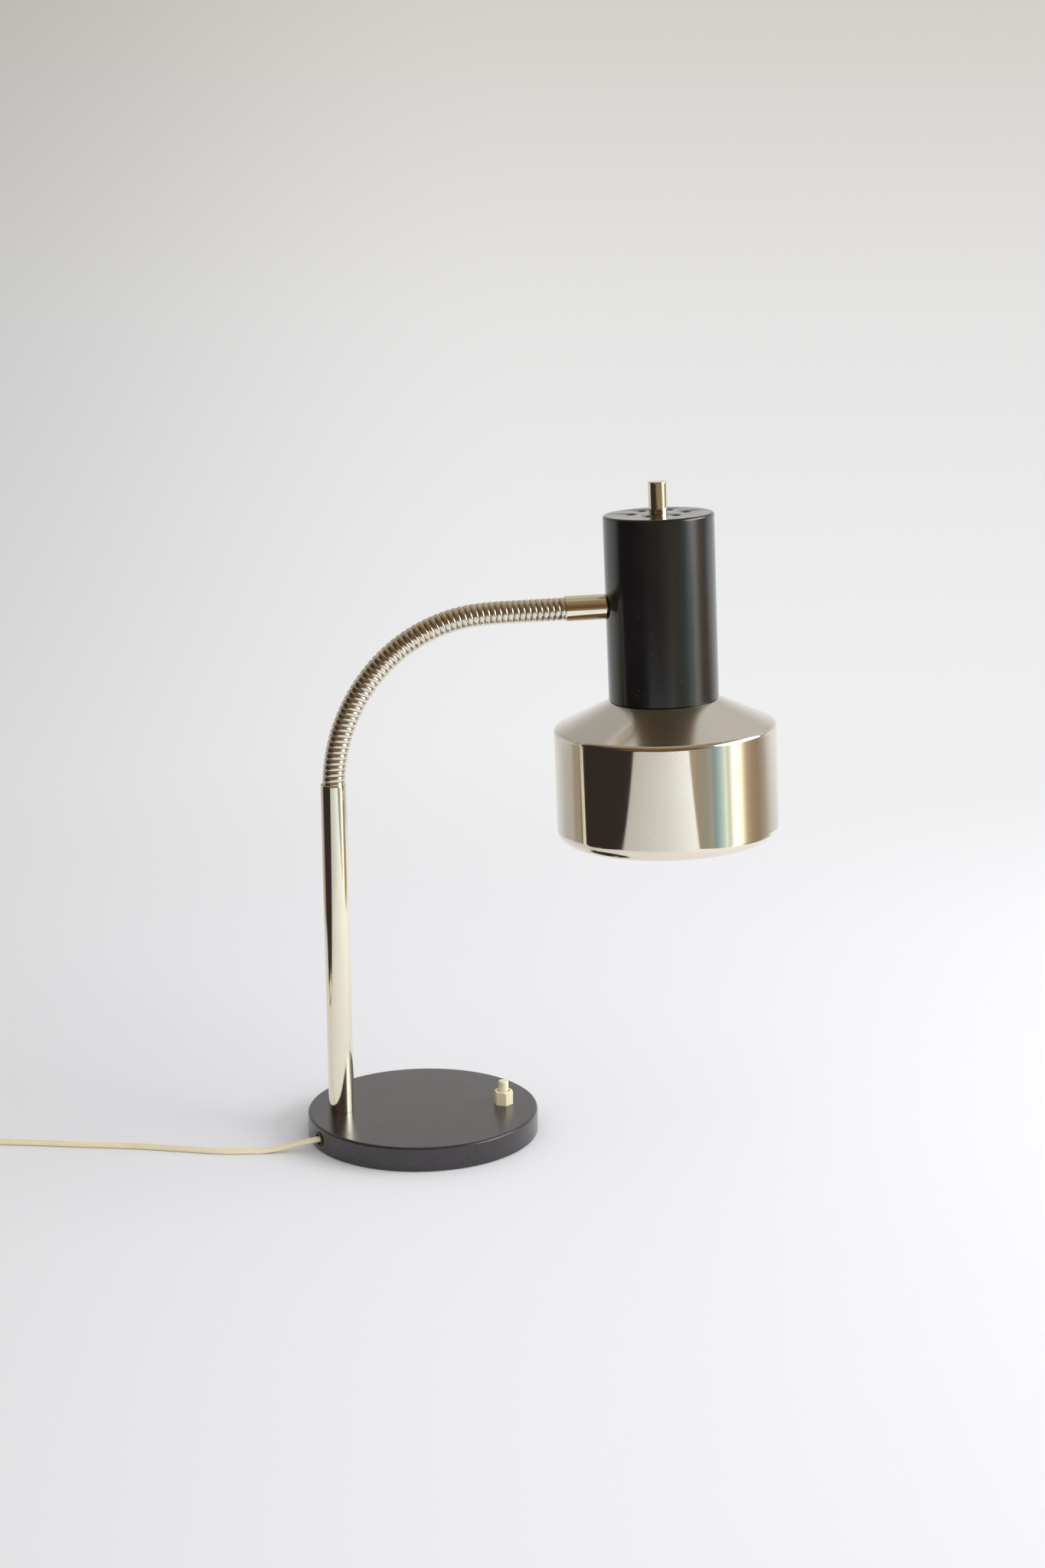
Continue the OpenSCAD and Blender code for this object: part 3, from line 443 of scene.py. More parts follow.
dark_lacquer, tree, shader = surface("dark_lacquer", (0.020, 0.017, 0.020), 0.28, coat=0.45)
shader.inputs["Coat Roughness"].default_value = 0.22
blotches, _, specks = handled(tree, 24.0)
coatwork = laid_over(tree, blotches, (0.017, 0.014, 0.016, 1), (0.022, 0.018, 0.022, 1))
pigment = ranged(tree, grained(tree, 1600.0, Detail=1.0), 0.42, 0.75)
coatwork = laid_over(tree, pigment, coatwork, (0.045, 0.039, 0.045, 1))
marked(tree, shader, specks, 0.04, coatwork, (0.12, 0.11, 0.10))
worn(tree, shader, blotches, 0.25, 0.33)
relief(tree, shader, grained(tree, 900.0, Detail=2.0, Roughness=0.5), 0.00002, 0.4)
base_radius, base_top, cover_wall, switch_x = 75, 16, 1.2, 53
cord_turn, cord_height = math.radians(-155.3), Vector((0, 0, 8.2))
inner_radius, inner_top = base_radius - cover_wall, base_top - cover_wall
dish = rounded((0, base_top, 0), (base_radius, base_top, 1.5), (base_radius, 0.6, 0.3),
               (inner_radius, 0.6, 0.3), (inner_radius, inner_top, 1), (0, inner_top, 0))
dish[1:1] = [Vector((r, base_top)) for r in (30, 44, 62)]
dish[-1:] = [Vector((r, inner_top)) for r in (62, 44, 30, 0)]
bm = spun(bmesh.new(), dish, 240)
pierce(bm, (switch_x, 0, base_top - cover_wall / 2), (0, 0, 1), 4.35, 14)
rim_out = Vector((math.cos(cord_turn), math.sin(cord_turn), 0))
pierce(bm, rim_out * (base_radius - cover_wall / 2) + cord_height, rim_out, 4.2, 8)
made("cover", bm, dark_lacquer, "base", ["base_cover"])

# ------------------------------------------- base: ballast, plate and felt
# A cast iron disc gives the base its weight. A zinc-plated plate closes it from
# below, held by four countersunk screws, with dark wool felt glued under it.


def dress(material, *nodes):
    """Gives the frame's own pieces their finish."""
    for node in nodes:
        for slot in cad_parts[node].material_slots:
            slot.material = material


cast_iron, tree, shader = surface("cast_iron", (0.05, 0.05, 0.052), 0.7)
blotches, _, _ = handled(tree, 60.0)
grain = grained(tree, 700.0, Detail=5.0, Roughness=0.7)
tinted(tree, shader, blotches, (0.04, 0.039, 0.04), (0.075, 0.062, 0.052))
tree.links.new(ranged(tree, grain, 0.3, 0.7, 0.6, 0.85), shader.inputs["Roughness"])
relief(tree, shader, grain, 0.0004)
dress(cast_iron, "base_weight")

zinc_plate, tree, shader = surface("zinc_plate", (0.52, 0.53, 0.55), 0.35, 1.0)
blotches, hairlines, _ = handled(tree, 80.0)
flakes = put(tree, "TexVoronoi", {"Vector": on_piece(tree), "Scale": 320.0})
bloom = laid_over(tree, ranged(tree, flakes.outputs["Distance"], 0.1, 0.8), (0.46, 0.47, 0.49, 1),
                  (0.58, 0.59, 0.60, 1))
marked(tree, shader, blotches, 0.3, bloom, (0.36, 0.35, 0.33))
worn(tree, shader, blotches, 0.28, 0.46)
relief(tree, shader, hairlines, 0.00003, 0.4)
dress(zinc_plate, "base_plate", "plate_screws")

wool_felt, tree, shader = surface("wool_felt", (0.014, 0.020, 0.014), 1.0)
shader.inputs["Sheen Weight"].default_value = 0.3
fibres = grained(tree, 1800.0, Detail=4.0, Distortion=3.0)
tinted(tree, shader, fibres, (0.008, 0.012, 0.008), (0.028, 0.038, 0.028))
relief(tree, shader, fibres, 0.0003)
dress(wool_felt, "base_felt")

# ----------------------------------------------- base: cord bush and wiring
# Brown rubber bush pressed in the rim. Behind it a moulded clamp with two
# screws takes the pull off the cord, which ends in a terminal block.
brown_rubber, tree, shader = surface("brown_rubber", (0.06, 0.033, 0.022), 0.55)
blotches, _, _ = mottled(tree, shader, 150.0, (0.05, 0.028, 0.018), (0.085, 0.05, 0.035), 0.5, 0.68)
relief(tree, shader, blotches, 0.00008, 0.5)
outward = rim_out.to_track_quat("Z", "Y").to_matrix().to_4x4()
turned("rim_bush", rounded((3.3, -2.8, 0.2), (5.4, -2.8, 0.3), (5.4, -1.5, 0.2), (4.15, -1.5, 0),
                           (4.15, 0.05, 0), (4.7, 0.05, 0.1), (4.7, 0.7, 0.3), (3.3, 0.7, 0.3), closed=True),
       brown_rubber, "base", ["cord_bush"],
       Matrix.Translation(rim_out * base_radius + cord_height) @ outward, 64, True)

ivory_resin, tree, shader = surface("ivory_resin", (0.90, 0.82, 0.55), 0.24, coat=0.3)
shader.inputs["Coat Roughness"].default_value = 0.08
blotches, hairlines, _ = handled(tree, 70.0)
moulded = laid_over(tree, blotches, (0.88, 0.79, 0.51, 1), (0.92, 0.85, 0.59, 1))
marked(tree, shader, hairlines, 0.25, moulded, (0.5, 0.42, 0.27))
worn(tree, shader, blotches, 0.2, 0.3)
relief(tree, shader, blotches, 0.0001, 0.3)
dress(ivory_resin, "cord_clamp", "terminal_block")
dress(zinc_plate, "clamp_screws")
dress(ivory_pvc, "inner_leads")

# ------------------------------------------------------ base: push switch
# Push switch in ivory urea resin. A tall hexagon nut on its threaded bush holds
# it under the cover, and the button springs in the bush on a coil of steel wire,
# which shortens as it is pressed. Its tags are brass.
nut_flats, nut_top, nut_crown, crown_slope, crown_sides = 11.2, 25, 5.35, 0.85, 60
bush_radius, bush_bore, bush_top, button_radius = 4.2, 3.5, 23.5, 3.3
spring_foot, spring_top, spring_travel, spring_turns = 4.5, 11.9, 3, 5
spring_radius, spring_wire, spring_end = 4.25, 0.32, 0.33
upright_switch = Matrix.Translation((switch_x, 0, 0))


def shifted(bm, extruded, by):
    """Moves what an extrusion has just made."""
    bmesh.ops.translate(bm, vec=by, verts=[v for v in extruded["geom"] if isinstance(v, bmesh.types.BMVert)])


def coiled(bm, radius, foot, half_wide, half_high, sides, turns, steps, rise):
    """Winds a wire about the upright axis, by its steps and rise per turn."""
    ring = [bm.verts.new((radius + half_wide * math.cos(a), 0, foot + half_high * math.sin(a)))
            for a in (2 * math.pi * k / sides for k in range(sides))]
    bmesh.ops.spin(bm, geom=ring + [bm.edges.new((ring[k - 1], ring[k])) for k in range(sides)],
                   cent=(0, 0, 0), axis=(0, 0, 1), angle=2 * math.pi * turns, dvec=(0, 0, rise / steps),
                   steps=round(turns * steps))
    bmesh.ops.holes_fill(bm, edges=open_edges(bm))


bm = bmesh.new()
bmesh.ops.create_circle(bm, cap_ends=True, radius=nut_flats / 2 / math.cos(math.pi / 6), segments=6,
                        matrix=Matrix.Translation((0, 0, base_top)))
shifted(bm, bmesh.ops.extrude_face_region(bm, geom=bm.faces[:]), (0, 0, nut_top - base_top))
bmesh.ops.recalc_face_normals(bm, faces=bm.faces)
rolled(bm, [e for e in bm.edges if abs(e.verts[0].co.z - e.verts[1].co.z) > 1], 0.35, 3)
for k in range(crown_sides):
    a = 2 * math.pi * k / crown_sides
    bmesh.ops.bisect_plane(bm, geom=bm.verts[:] + bm.edges[:] + bm.faces[:], dist=0.0001, clear_outer=True,
                           plane_co=(nut_crown * math.cos(a), nut_crown * math.sin(a), nut_top),
                           plane_no=(crown_slope * math.cos(a), crown_slope * math.sin(a), 1))
    bmesh.ops.holes_fill(bm, edges=open_edges(bm))
bmesh.ops.recalc_face_normals(bm, faces=bm.faces)
crown = max(bm.faces, key=lambda f: f.normal.z * f.calc_area())
rolled(bm, list(crown.edges), 0.22, 3)
crown = max(bm.faces, key=lambda f: f.normal.z * f.calc_area())
sole = min(bm.faces, key=lambda f: f.normal.z * f.calc_area())
bmesh.ops.inset_individual(bm, faces=[crown],
                           thickness=max(v.co.xy.length for v in crown.verts) - bush_radius - 0.05)
mouth = list(crown.edges)
bmesh.ops.delete(bm, geom=[crown, sole], context="FACES_ONLY")
shifted(bm, bmesh.ops.extrude_edge_only(bm, edges=mouth), (0, 0, base_top - nut_top))
bmesh.ops.bridge_loops(bm, edges=open_edges(bm))
made("hexagon_nut", bm, ivory_resin, "base", ["switch_nut"], upright_switch @ Matrix.Rotation(
    math.radians(10), 4, "Z"))
turned("threaded_bush", rounded((bush_bore, inner_top, 0), (bush_radius, inner_top, 0),
                                (bush_radius, bush_top, 0.3), (bush_bore, bush_top, 0.2), closed=True),
       ivory_resin, "base", ["switch_bush"], upright_switch, 64, True)
turned("push_button", rounded((0, 9.3, 0), (2.4, 9.3, 0), (2.4, spring_top, 0), (5.5, spring_top, 0.2),
                              (5.5, 13.2, 0.2), (button_radius, 13.2, 0), (button_radius, 31.55, 0.8),
                              (0, 31.78, 0), steps=8),
       ivory_resin, "button", ["switch_button"], upright_switch, 64)
turned_brass, tree, shader = surface("turned_brass", (0.70, 0.50, 0.24), 0.28, 1.0)
_, hairlines, _ = mottled(tree, shader, 120.0, (0.60, 0.41, 0.18), (0.76, 0.57, 0.30), 0.22, 0.4)
relief(tree, shader, hairlines, 0.00003, 0.5)
dress(ivory_resin, "switch_body")
dress(turned_brass, "switch_tags")
bm = bmesh.new()
coiled(bm, spring_radius, spring_foot + spring_end, spring_wire, spring_wire, 8, spring_turns, 32,
       (spring_top - spring_foot - 2 * spring_end) / spring_turns)
spring = made("return_spring", bm, zinc_plate, "base", ["button_spring"], upright_switch)
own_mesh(spring)

# --------------------------------------------------------------- upright
# Steel tube, polished and chrome plated, with a rounded mouth. A brass plug
# with a hollow stem draws it down on the cover, with a washer and nut below.
tube_x, tube_radius, tube_wall, tube_top = -53, 8.25, 1, 234
chrome_plate, tree, shader = surface("chrome_plate", (0.90, 0.86, 0.70), 0.06, 1.0)
blotches, hairlines, specks = handled(tree, 38.0)
film = laid_over(tree, times(tree, blotches, 0.5), (0.91, 0.87, 0.715, 1), (0.84, 0.775, 0.60, 1))
marked(tree, shader, specks, 0.5, film, (0.45, 0.38, 0.28))
tree.links.new(maths(tree, "ADD", ranged(tree, blotches, 0, 1, 0.045, 0.1),
                     times(tree, hairlines, 0.08)), shader.inputs["Roughness"])
relief(tree, shader, grained(tree, 160.0, Detail=1.0), 0.00003, 0.06)
bore_radius = tube_radius - tube_wall
turned("pillar", rounded((tube_radius, base_top, 0.1), (tube_radius, tube_top, 0.8),
                         (bore_radius, tube_top, 0.15), (bore_radius, base_top, 0), closed=True),
       chrome_plate, "base", ["upright_tube"], Matrix.Translation((tube_x, 0, 0)), 128, True)
aged_brass, tree, shader = surface("aged_brass", (0.26, 0.215, 0.15), 0.5, 1.0)
_, hairlines, _ = mottled(tree, shader, 140.0, (0.20, 0.16, 0.11), (0.32, 0.27, 0.19), 0.42, 0.6)
relief(tree, shader, hairlines, 0.00003, 0.5)
dress(aged_brass, "tube_foot_plug")
dress(zinc_plate, "tube_washer", "tube_nut")

# -------------------------------------------------------------- gooseneck
# Flexible neck: a round steel wire wound tight on an inner tube, nickel plated,
# with the cable inside. Its first and last turns are drawn in, to seat in the
# mouth of the tube and in the sleeve.
link_turns, link, wire_half, wire_deep, wire_at, per_turn, seat = 4, 14.8, 1.8, 0.75, 6.6, 56, 7.15
liner_out, liner_in, cable_radius, neck_wall = 5.2, 3, 2.3, 7.1
kinks = [6] + [7.4] * 5 + [8.4] * 5 + [3, 0, 0]


def leaning(degrees):
    return Vector((math.sin(math.radians(degrees)), 0, math.cos(math.radians(degrees))))


def bend(bm, start, lean, kink, length):
    """Bends a straight upright length onto the arc that leaves start at this lean and turns by kink."""
    for v in bm.verts:
        x, y, z = v.co
        if kink:
            radius = length / 2 / math.tan(math.radians(kink) / 2)
            centre = start + radius * leaning(lean + 90)
            v.co = centre - (radius - x) * leaning(lean + 90 + kink * z / length) + Vector((0, y, 0))
        else:
            v.co = start + x * leaning(lean + 90) + z * leaning(lean) + Vector((0, y, 0))


neck_nickel, tree, shader = surface("neck_nickel", (0.84, 0.78, 0.66), 0.14, 1.0)
blotches, _, _ = handled(tree, 130.0)
groove = put(tree, "Attribute", attribute_name="groove").outputs["Fac"]
# Painted shade and grime: deep in the grooves between turns, and where the blotches fall, the wire is painted
# dark brown, rougher and less metallic.
groove_grime_and_shade = eased(tree, maths(tree, "ADD", groove, ranged(tree, blotches, 0, 1, -0.2, 0.1)), 0.45, 1)
plating = laid_over(tree, blotches, (0.76, 0.68, 0.55, 1), (0.87, 0.82, 0.71, 1))
tree.links.new(laid_over(tree, groove_grime_and_shade, plating, (0.10, 0.072, 0.045, 1)), shader.inputs["Base Color"])
worn(tree, shader, groove_grime_and_shade, 0.2, 0.6)
tree.links.new(ranged(tree, groove_grime_and_shade, 0, 1, 1, 0.25), shader.inputs["Metallic"])
relief(tree, shader, blotches, 0.00008, 0.35)
pivots, leans = [Vector((tube_x, 0, tube_top + 1))], []
for kink in kinks:
    leans.append((leans[-1] if leans else 0) + kink)
    pivots.append(pivots[-1] + link * leaning(leans[-1]))
neck_tip = pivots[-1]
neck_bodies = ["base"] + ["neck_%02d" % n for n in range(1, 14)] + ["neck_end"]
# A stretch of turns lies over each joint. Past the first sideways joint, those
# that swing in the neck's own plane are two stiff halves, one on each body, which
# part or close up there: a bending piece loses its hold when the neck is also
# bent sideways. The rest are left in place on no body, but for the last, on the neck's end.
stiff_joints = (3, 4, 6, 7, 9, 10, 12, 13)
stretches = [(j, 0, link_turns) for j in range(14) if j not in stiff_joints] + [(14, 0, 3.5)]
stretches += [(j, first, link_turns // 2) for j in stiff_joints for first in (0, link_turns // 2)]
for j, first, turns in stretches:
    lean, kink = leans[j - 1] if j else 0, kinks[j] if j < 14 else 0
    start = pivots[j] - link / 2 * leaning(lean)
    low, length = link * first / link_turns, link * turns / link_turns
    wound = bmesh.new()
    depth = wound.verts.layers.float.new("groove")
    coiled(wound, wire_at, 0, wire_deep, wire_half, 16, turns, per_turn, link / link_turns)
    for v in wound.verts:
        v[depth] = min(1, max(0, (neck_wall - v.co.xy.length) / 0.55))
        if (j == 0 and v.co.z < 6.7 or j == 14 and v.co.z > 7.1) and v.co.xy.length > seat:
            v.co.xy = v.co.xy.normalized() * seat
    rows = [length * k / 6 for k in range(7)]
    tongue = [(5, length), (5, length + 1), (liner_in, length + 1)] if j in stiff_joints and not first else []
    spun(wound, [(liner_out, z) for z in rows] + tongue + [(liner_in, z) for z in rows[::-1]], 32, True)
    cable = spun(bmesh.new(), [(cable_radius, z) for z in rows] + [(0, length), (0, 0)], 16, True)
    for bm in (wound, cable):
        bmesh.ops.translate(bm, vec=(0, 0, low), verts=bm.verts)
        bend(bm, start, lean, kink, link)
    coils = ["neck_socket", "neck_link_01"] if j == 0 else ["neck_link_%02d" % min(j + 1, 14)]
    for name, bm, material, slot, nodes in (("wound", wound, neck_nickel, "neck_steel", coils),
                                            ("cable", cable, ivory_pvc, "cord_ivory", ["neck_cable"])):
        name = "%s.%02d" % (name, j)
        if j in stiff_joints:
            made("%s.%d" % (name, first), bm, material, neck_bodies[j + (first > 0)], nodes, angle=60)
        elif j == 14:
            made(name, bm, material, "neck_end", nodes, angle=60)
        else:
            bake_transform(made(name, bm, material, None, nodes, angle=60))

# ------------------------------------------------------------- neck sleeve
# Chromed sleeve pressed on the end of the neck. The hollow brass stem that
# carries the head is screwed into it, with a washer and nut in the housing.
sleeve_lean, head_lean = 88, math.radians(-2)
sleeve_place = Matrix.Translation(neck_tip) @ Matrix.Rotation(math.radians(sleeve_lean), 4, "Y")
sleeve_radius, sleeve_length, seat_radius, seat_depth, stem_hole = 8.1, 26, 7.2, 9, 5.05
turned("end_sleeve", rounded((seat_radius, 0, 0), (sleeve_radius, 0, 0.8), (sleeve_radius, sleeve_length, 0.2),
                             (stem_hole, sleeve_length, 0), (stem_hole, seat_depth, 0),
                             (seat_radius, seat_depth, 0), closed=True),
       chrome_plate, "neck_end", ["neck_sleeve"], sleeve_place, 128, True)
dress(turned_brass, "side_stem")
dress(zinc_plate, "side_washer", "side_nut")

# ---------------------------------------------------------- socket housing
# Pressed steel cup in satin black enamel, open below, with six vent holes round
# the handle in its flat top and a hole for the stem in its side.
head_centre = neck_tip + 61.3 * leaning(sleeve_lean)
head_place = Matrix.Translation(head_centre) @ Matrix.Rotation(head_lean, 4, "Y")
vent_radius, vent_circle, stud_hole, cup_radius, cup_top, cup_mouth = 3.2, 17.2, 2.65, 35, 57, -60.43
cup_inside, cup_ceiling = cup_radius - 1, cup_top - 1.2
black_enamel, tree, shader = surface("black_enamel", (0.0095, 0.0088, 0.0086), 0.19, coat=0.6)
shader.inputs["Coat Roughness"].default_value = 0.17
blotches, _, specks = handled(tree, 35.0)
fired = laid_over(tree, blotches, (0.0085, 0.0079, 0.0076, 1), (0.0115, 0.0108, 0.0106, 1))
marked(tree, shader, specks, 0.7, fired, (0.16, 0.14, 0.12))
worn(tree, shader, blotches, 0.17, 0.22)
relief(tree, shader, grained(tree, 520.0, Detail=2.0, Roughness=0.4), 0.00004, 0.35)
cup = rounded((vent_circle, cup_top, 0), (cup_radius, cup_top, 1.6), (cup_radius, cup_mouth, 0.25),
              (cup_inside, cup_mouth, 0.25), (cup_inside, cup_ceiling, 1), (vent_circle, cup_ceiling, 0))
bm = spun(bmesh.new(), cup[1:-1], 192)
holes = [Vector((vent_circle * math.cos(a), vent_circle * math.sin(a)))
         for a in (math.pi * k / 3 for k in range(6))]
for z in (cup_top, cup_ceiling):
    edge = [e for e in open_edges(bm) if abs(e.verts[0].co.z - z) < 0.01]
    for x, y, r in [(*hole, vent_radius) for hole in holes] + [(0, 0, stud_hole)]:
        circle = bmesh.ops.create_circle(bm, cap_ends=False, radius=r, segments=40,
                                         matrix=Matrix.Translation((x, y, z)))
        edge += list({e for v in circle["verts"] for e in v.link_edges})
    bmesh.ops.triangle_fill(bm, edges=edge, use_beauty=True, use_dissolve=False)
for hole in holes + [Vector((0, 0))]:
    bmesh.ops.bridge_loops(bm, edges=[e for e in open_edges(bm)
                                      if (e.verts[0].co.xy - hole).length < vent_radius + 0.2])
bmesh.ops.recalc_face_normals(bm, faces=bm.faces)
rolled(bm, [e for e in bm.edges if e.calc_face_angle(0) > 1 and all(
    v.co.z > cup_top - 0.1 and min(abs((v.co.xy - hole).length - vent_radius) for hole in holes) < 0.02
    for v in e.verts)], 0.3, 2)
pierce(bm, (-(cup_radius + cup_inside) / 2, 0, 0), (1, 0, 0), 5.08, 9)
made("housing", bm, black_enamel, "head", ["socket_housing"], head_place)

# ----------------------------------------------------------------- handle
# Short chromed knob with a stud below, put through the top of the housing and
# held by a nut inside.
stud_radius, stud_foot, knob_radius, knob_foot, knob_top = 2.5, 49, 6, cup_top + 0.02, 77
turned("handle_knob", rounded((0, stud_foot, 0), (stud_radius, stud_foot, 0.3), (stud_radius, knob_foot, 0),
                              (knob_radius, knob_foot, 0.25), (knob_radius, knob_top, 0.8), (0, knob_top, 0)),
       chrome_plate, "head", ["handle"], head_place, 96)
dress(zinc_plate, "handle_nut")

# ------------------------------------------------------------- lampholder
# E27 lampholder on a zinc-plated strap: cap and skirt of dark moulded resin, a
# ceramic insert, and a brass screw shell and contact. The lead is ivory PVC.
dark_resin, tree, shader = surface("dark_resin", (0.014, 0.010, 0.008), 0.24)
blotches, hairlines, specks = handled(tree, 55.0)
marbled = laid_over(tree, blotches, (0.011, 0.008, 0.006, 1), (0.022, 0.014, 0.010, 1))
marked(tree, shader, specks, 0.5, marbled, (0.12, 0.11, 0.10))
worn(tree, shader, blotches, 0.2, 0.32)
relief(tree, shader, hairlines, 0.00003, 0.4)
white_ceramic, tree, shader = surface("white_ceramic", (0.78, 0.75, 0.69), 0.45)
blotches, _, specks = handled(tree, 160.0)
tinted(tree, shader, specks, (0.78, 0.75, 0.69), (0.45, 0.40, 0.33))
worn(tree, shader, blotches, 0.38, 0.6)
relief(tree, shader, blotches, 0.0001, 0.4)
dress(zinc_plate, "holder_strap")
dress(ivory_pvc, "head_lead")
dress(dark_resin, "holder_cap", "holder_skirt")
dress(white_ceramic, "holder_insert")
dress(turned_brass, "screw_shell", "centre_contact")

# ------------------------------------------------------------------ shade
# Spun shade, nickel plated: seat and conical shoulder left satin, the drum
# polished bright, with an inward roll at its mouth. A resin ring clamps it.
turning = bpy.data.node_groups.new("turning", "ShaderNodeTree")
turning.interface.new_socket("Place", in_out="INPUT", socket_type="NodeSocketVector")
turning.interface.new_socket("Fineness", in_out="INPUT", socket_type="NodeSocketFloat")
for socket in ("Lines", "Bands"):
    turning.interface.new_socket(socket, in_out="OUTPUT", socket_type="NodeSocketFloat")
given, wanted = put(turning, "NodeGroupInput").outputs, put(turning, "NodeGroupOutput").inputs
spot = put(turning, "SeparateXYZ", {"Vector": given["Place"]}).outputs
out = put(turning, "CombineXYZ", {"X": spot["X"], "Y": spot["Y"]}).outputs["Vector"]
out = put(turning, "VectorMath", {0: out}, operation="LENGTH").outputs["Value"]
ringed = put(turning, "CombineXYZ", {"X": out, "Y": times(turning, spot["X"], 0.012),
                                     "Z": spot["Z"]}).outputs["Vector"]
fine = put(turning, "TexNoise", {"Vector": ringed, "Scale": given["Fineness"], "Detail": 2.0})
broad = put(turning, "TexNoise", {"Vector": ringed, "Scale": times(turning, given["Fineness"], 0.12)})
turning.links.new(fine.outputs["Fac"], wanted["Lines"])
turning.links.new(ranged(turning, broad.outputs["Fac"], 0.35, 0.65), wanted["Bands"])
spun_nickel, tree, shader = surface("spun_nickel", (0.84, 0.78, 0.66), 0.08, 1.0)
blotches, hairlines, specks = handled(tree, 28.0)
satin = put(tree, "Attribute", attribute_name="satin").outputs["Fac"]
lathe = put(tree, "Group", {"Place": on_piece(tree, head_centre * mm, (0, head_lean, 0))}, node_tree=turning)
lathe.inputs["Fineness"].default_value = 2600
plating = laid_over(tree, times(tree, blotches, 0.6), (0.86, 0.80, 0.69, 1), (0.81, 0.735, 0.60, 1))
plating = laid_over(tree, times(tree, satin, 0.8), plating, (0.885, 0.855, 0.805, 1))
marked(tree, shader, specks, 0.6, plating, (0.30, 0.23, 0.15))
bright = maths(tree, "ADD", ranged(tree, blotches, 0, 1, 0.035, 0.075), times(tree, hairlines, 0.06))
brushed = ranged(tree, lathe.outputs["Bands"], 0, 1, 0.155, 0.185)
tree.links.new(put(tree, "Mix", {0: satin, 2: bright, 3: brushed}).outputs[0], shader.inputs["Roughness"])
relief(tree, shader, lathe.outputs["Lines"], 0.000004, 0.2)
shade_radius, shade_mouth, shade_seat, shade_hole, shade_wall = 71, -151, -57.7, 20.3, 0.8
within, rim, under_seat = shade_radius - shade_wall, shade_mouth + shade_wall, shade_seat - shade_wall
roll_radius, roll_lip, satin_foot, satin_fade = 8, 61.5, -79.2, 0.8
bm = bmesh.new()
satin_layer = bm.verts.layers.float.new("satin")
spun(bm, rounded((shade_hole, shade_seat, 0), (28, shade_seat, 0.8), (shade_radius, -78.09, 3.2),
                 (shade_radius, shade_mouth, roll_radius), (roll_lip, shade_mouth, 0.3), (roll_lip, rim, 0.3),
                 (within, rim, roll_radius - shade_wall), (within, -78.6, 2.4), (27.87, under_seat, 0.5),
                 (shade_hole, under_seat, 0), closed=True, steps=14), 256, True)
for v in bm.verts:
    out, up = v.co.xy.length, v.co.z
    roll = Vector((out - shade_radius + roll_radius, up - shade_mouth - roll_radius))
    if roll.y < 0 and roll.x > 0:
        inside = roll.length < roll_radius - shade_wall / 2
    else:
        inside = out < shade_radius - shade_wall / 2 and up < satin_foot + 0.2
    v[satin_layer] = 0.5 if inside else min(1, max(0, (up - satin_foot) / satin_fade))
made("spun_shade", bm, spun_nickel, "head", ["shade"], head_place)
dress(dark_resin, "shade_ring")

# ------------------------------------------------------------------- bulb
# Small round bulb: a thin blown opal glass, cemented in a rolled metal cap that
# screws into the lampholder.
bulb_radius, bulb_centre, bulb_neck, glass_wall, neck_slope = 27.5, -106.7, 12.3, 0.8, math.radians(40)
opal, tree, shader = surface("opal", (0.86, 0.85, 0.80), 0.16)
mottled(tree, shader, 50.0, (0.84, 0.825, 0.77), (0.88, 0.87, 0.83), 0.13, 0.22)
rolled_cap, tree, shader = surface("rolled_cap", (0.62, 0.59, 0.52), 0.35, 1.0)
_, hairlines, _ = mottled(tree, shader, 90.0, (0.52, 0.49, 0.42), (0.70, 0.67, 0.60), 0.3, 0.45)
relief(tree, shader, hairlines, 0.00004, 0.5)
glass = []
for wall in (0, glass_wall):
    r = bulb_radius - wall
    join = Vector((r * math.cos(neck_slope), bulb_centre + r * math.sin(neck_slope)))
    throat = Vector((bulb_neck - wall, -65.2))
    along = Vector((-math.sin(neck_slope), math.cos(neck_slope)))
    hold = [throat, throat - Vector((0, 10)), join + 9 * along, join]
    wave = [Vector((bulb_neck - wall, -58.2))]
    for k in range(13):
        t = k / 12
        wave.append((1 - t) ** 3 * hold[0] + 3 * t * (1 - t) ** 2 * hold[1] + 3 * t * t * (1 - t) * hold[2]
                    + t ** 3 * hold[3])
    for k in range(1, 25):
        a = neck_slope - (math.pi / 2 + neck_slope) * k / 24
        wave.append(Vector((max(0, r * math.cos(a)), bulb_centre + r * math.sin(a))))
    glass += wave if not wall else wave[::-1]
turned("round_bulb", glass, opal, "head", ["bulb_glass"], head_place, 96, True)
dress(rolled_cap, "bulb_cap")

# ------------------------------------------------------- floor and backdrop
# Seamless pale paper: a flat floor that curves up behind the lamp, its colour painted
# darker to the left as painted shade. For the camera its back and far floor glow in a
# painted gradient, darker upwards and to the left. Polished metal shows it as the pale
# end of a room, darker to the left and right: a painted reflection that the floor away
# from the lamp glows with for reflection rays only.


def stops(tree, value, *marks):
    """A colour ramp through marks (place from 0 to 1, colour)."""
    ramp = put(tree, "ValToRGB", {"Fac": value})
    band = ramp.color_ramp.elements
    while len(band) < len(marks):
        band.new(1)
    for element, (place, colour) in zip(band, marks):
        element.position = place
        element.color = (*colour, 1)
    return ramp.outputs["Color"]


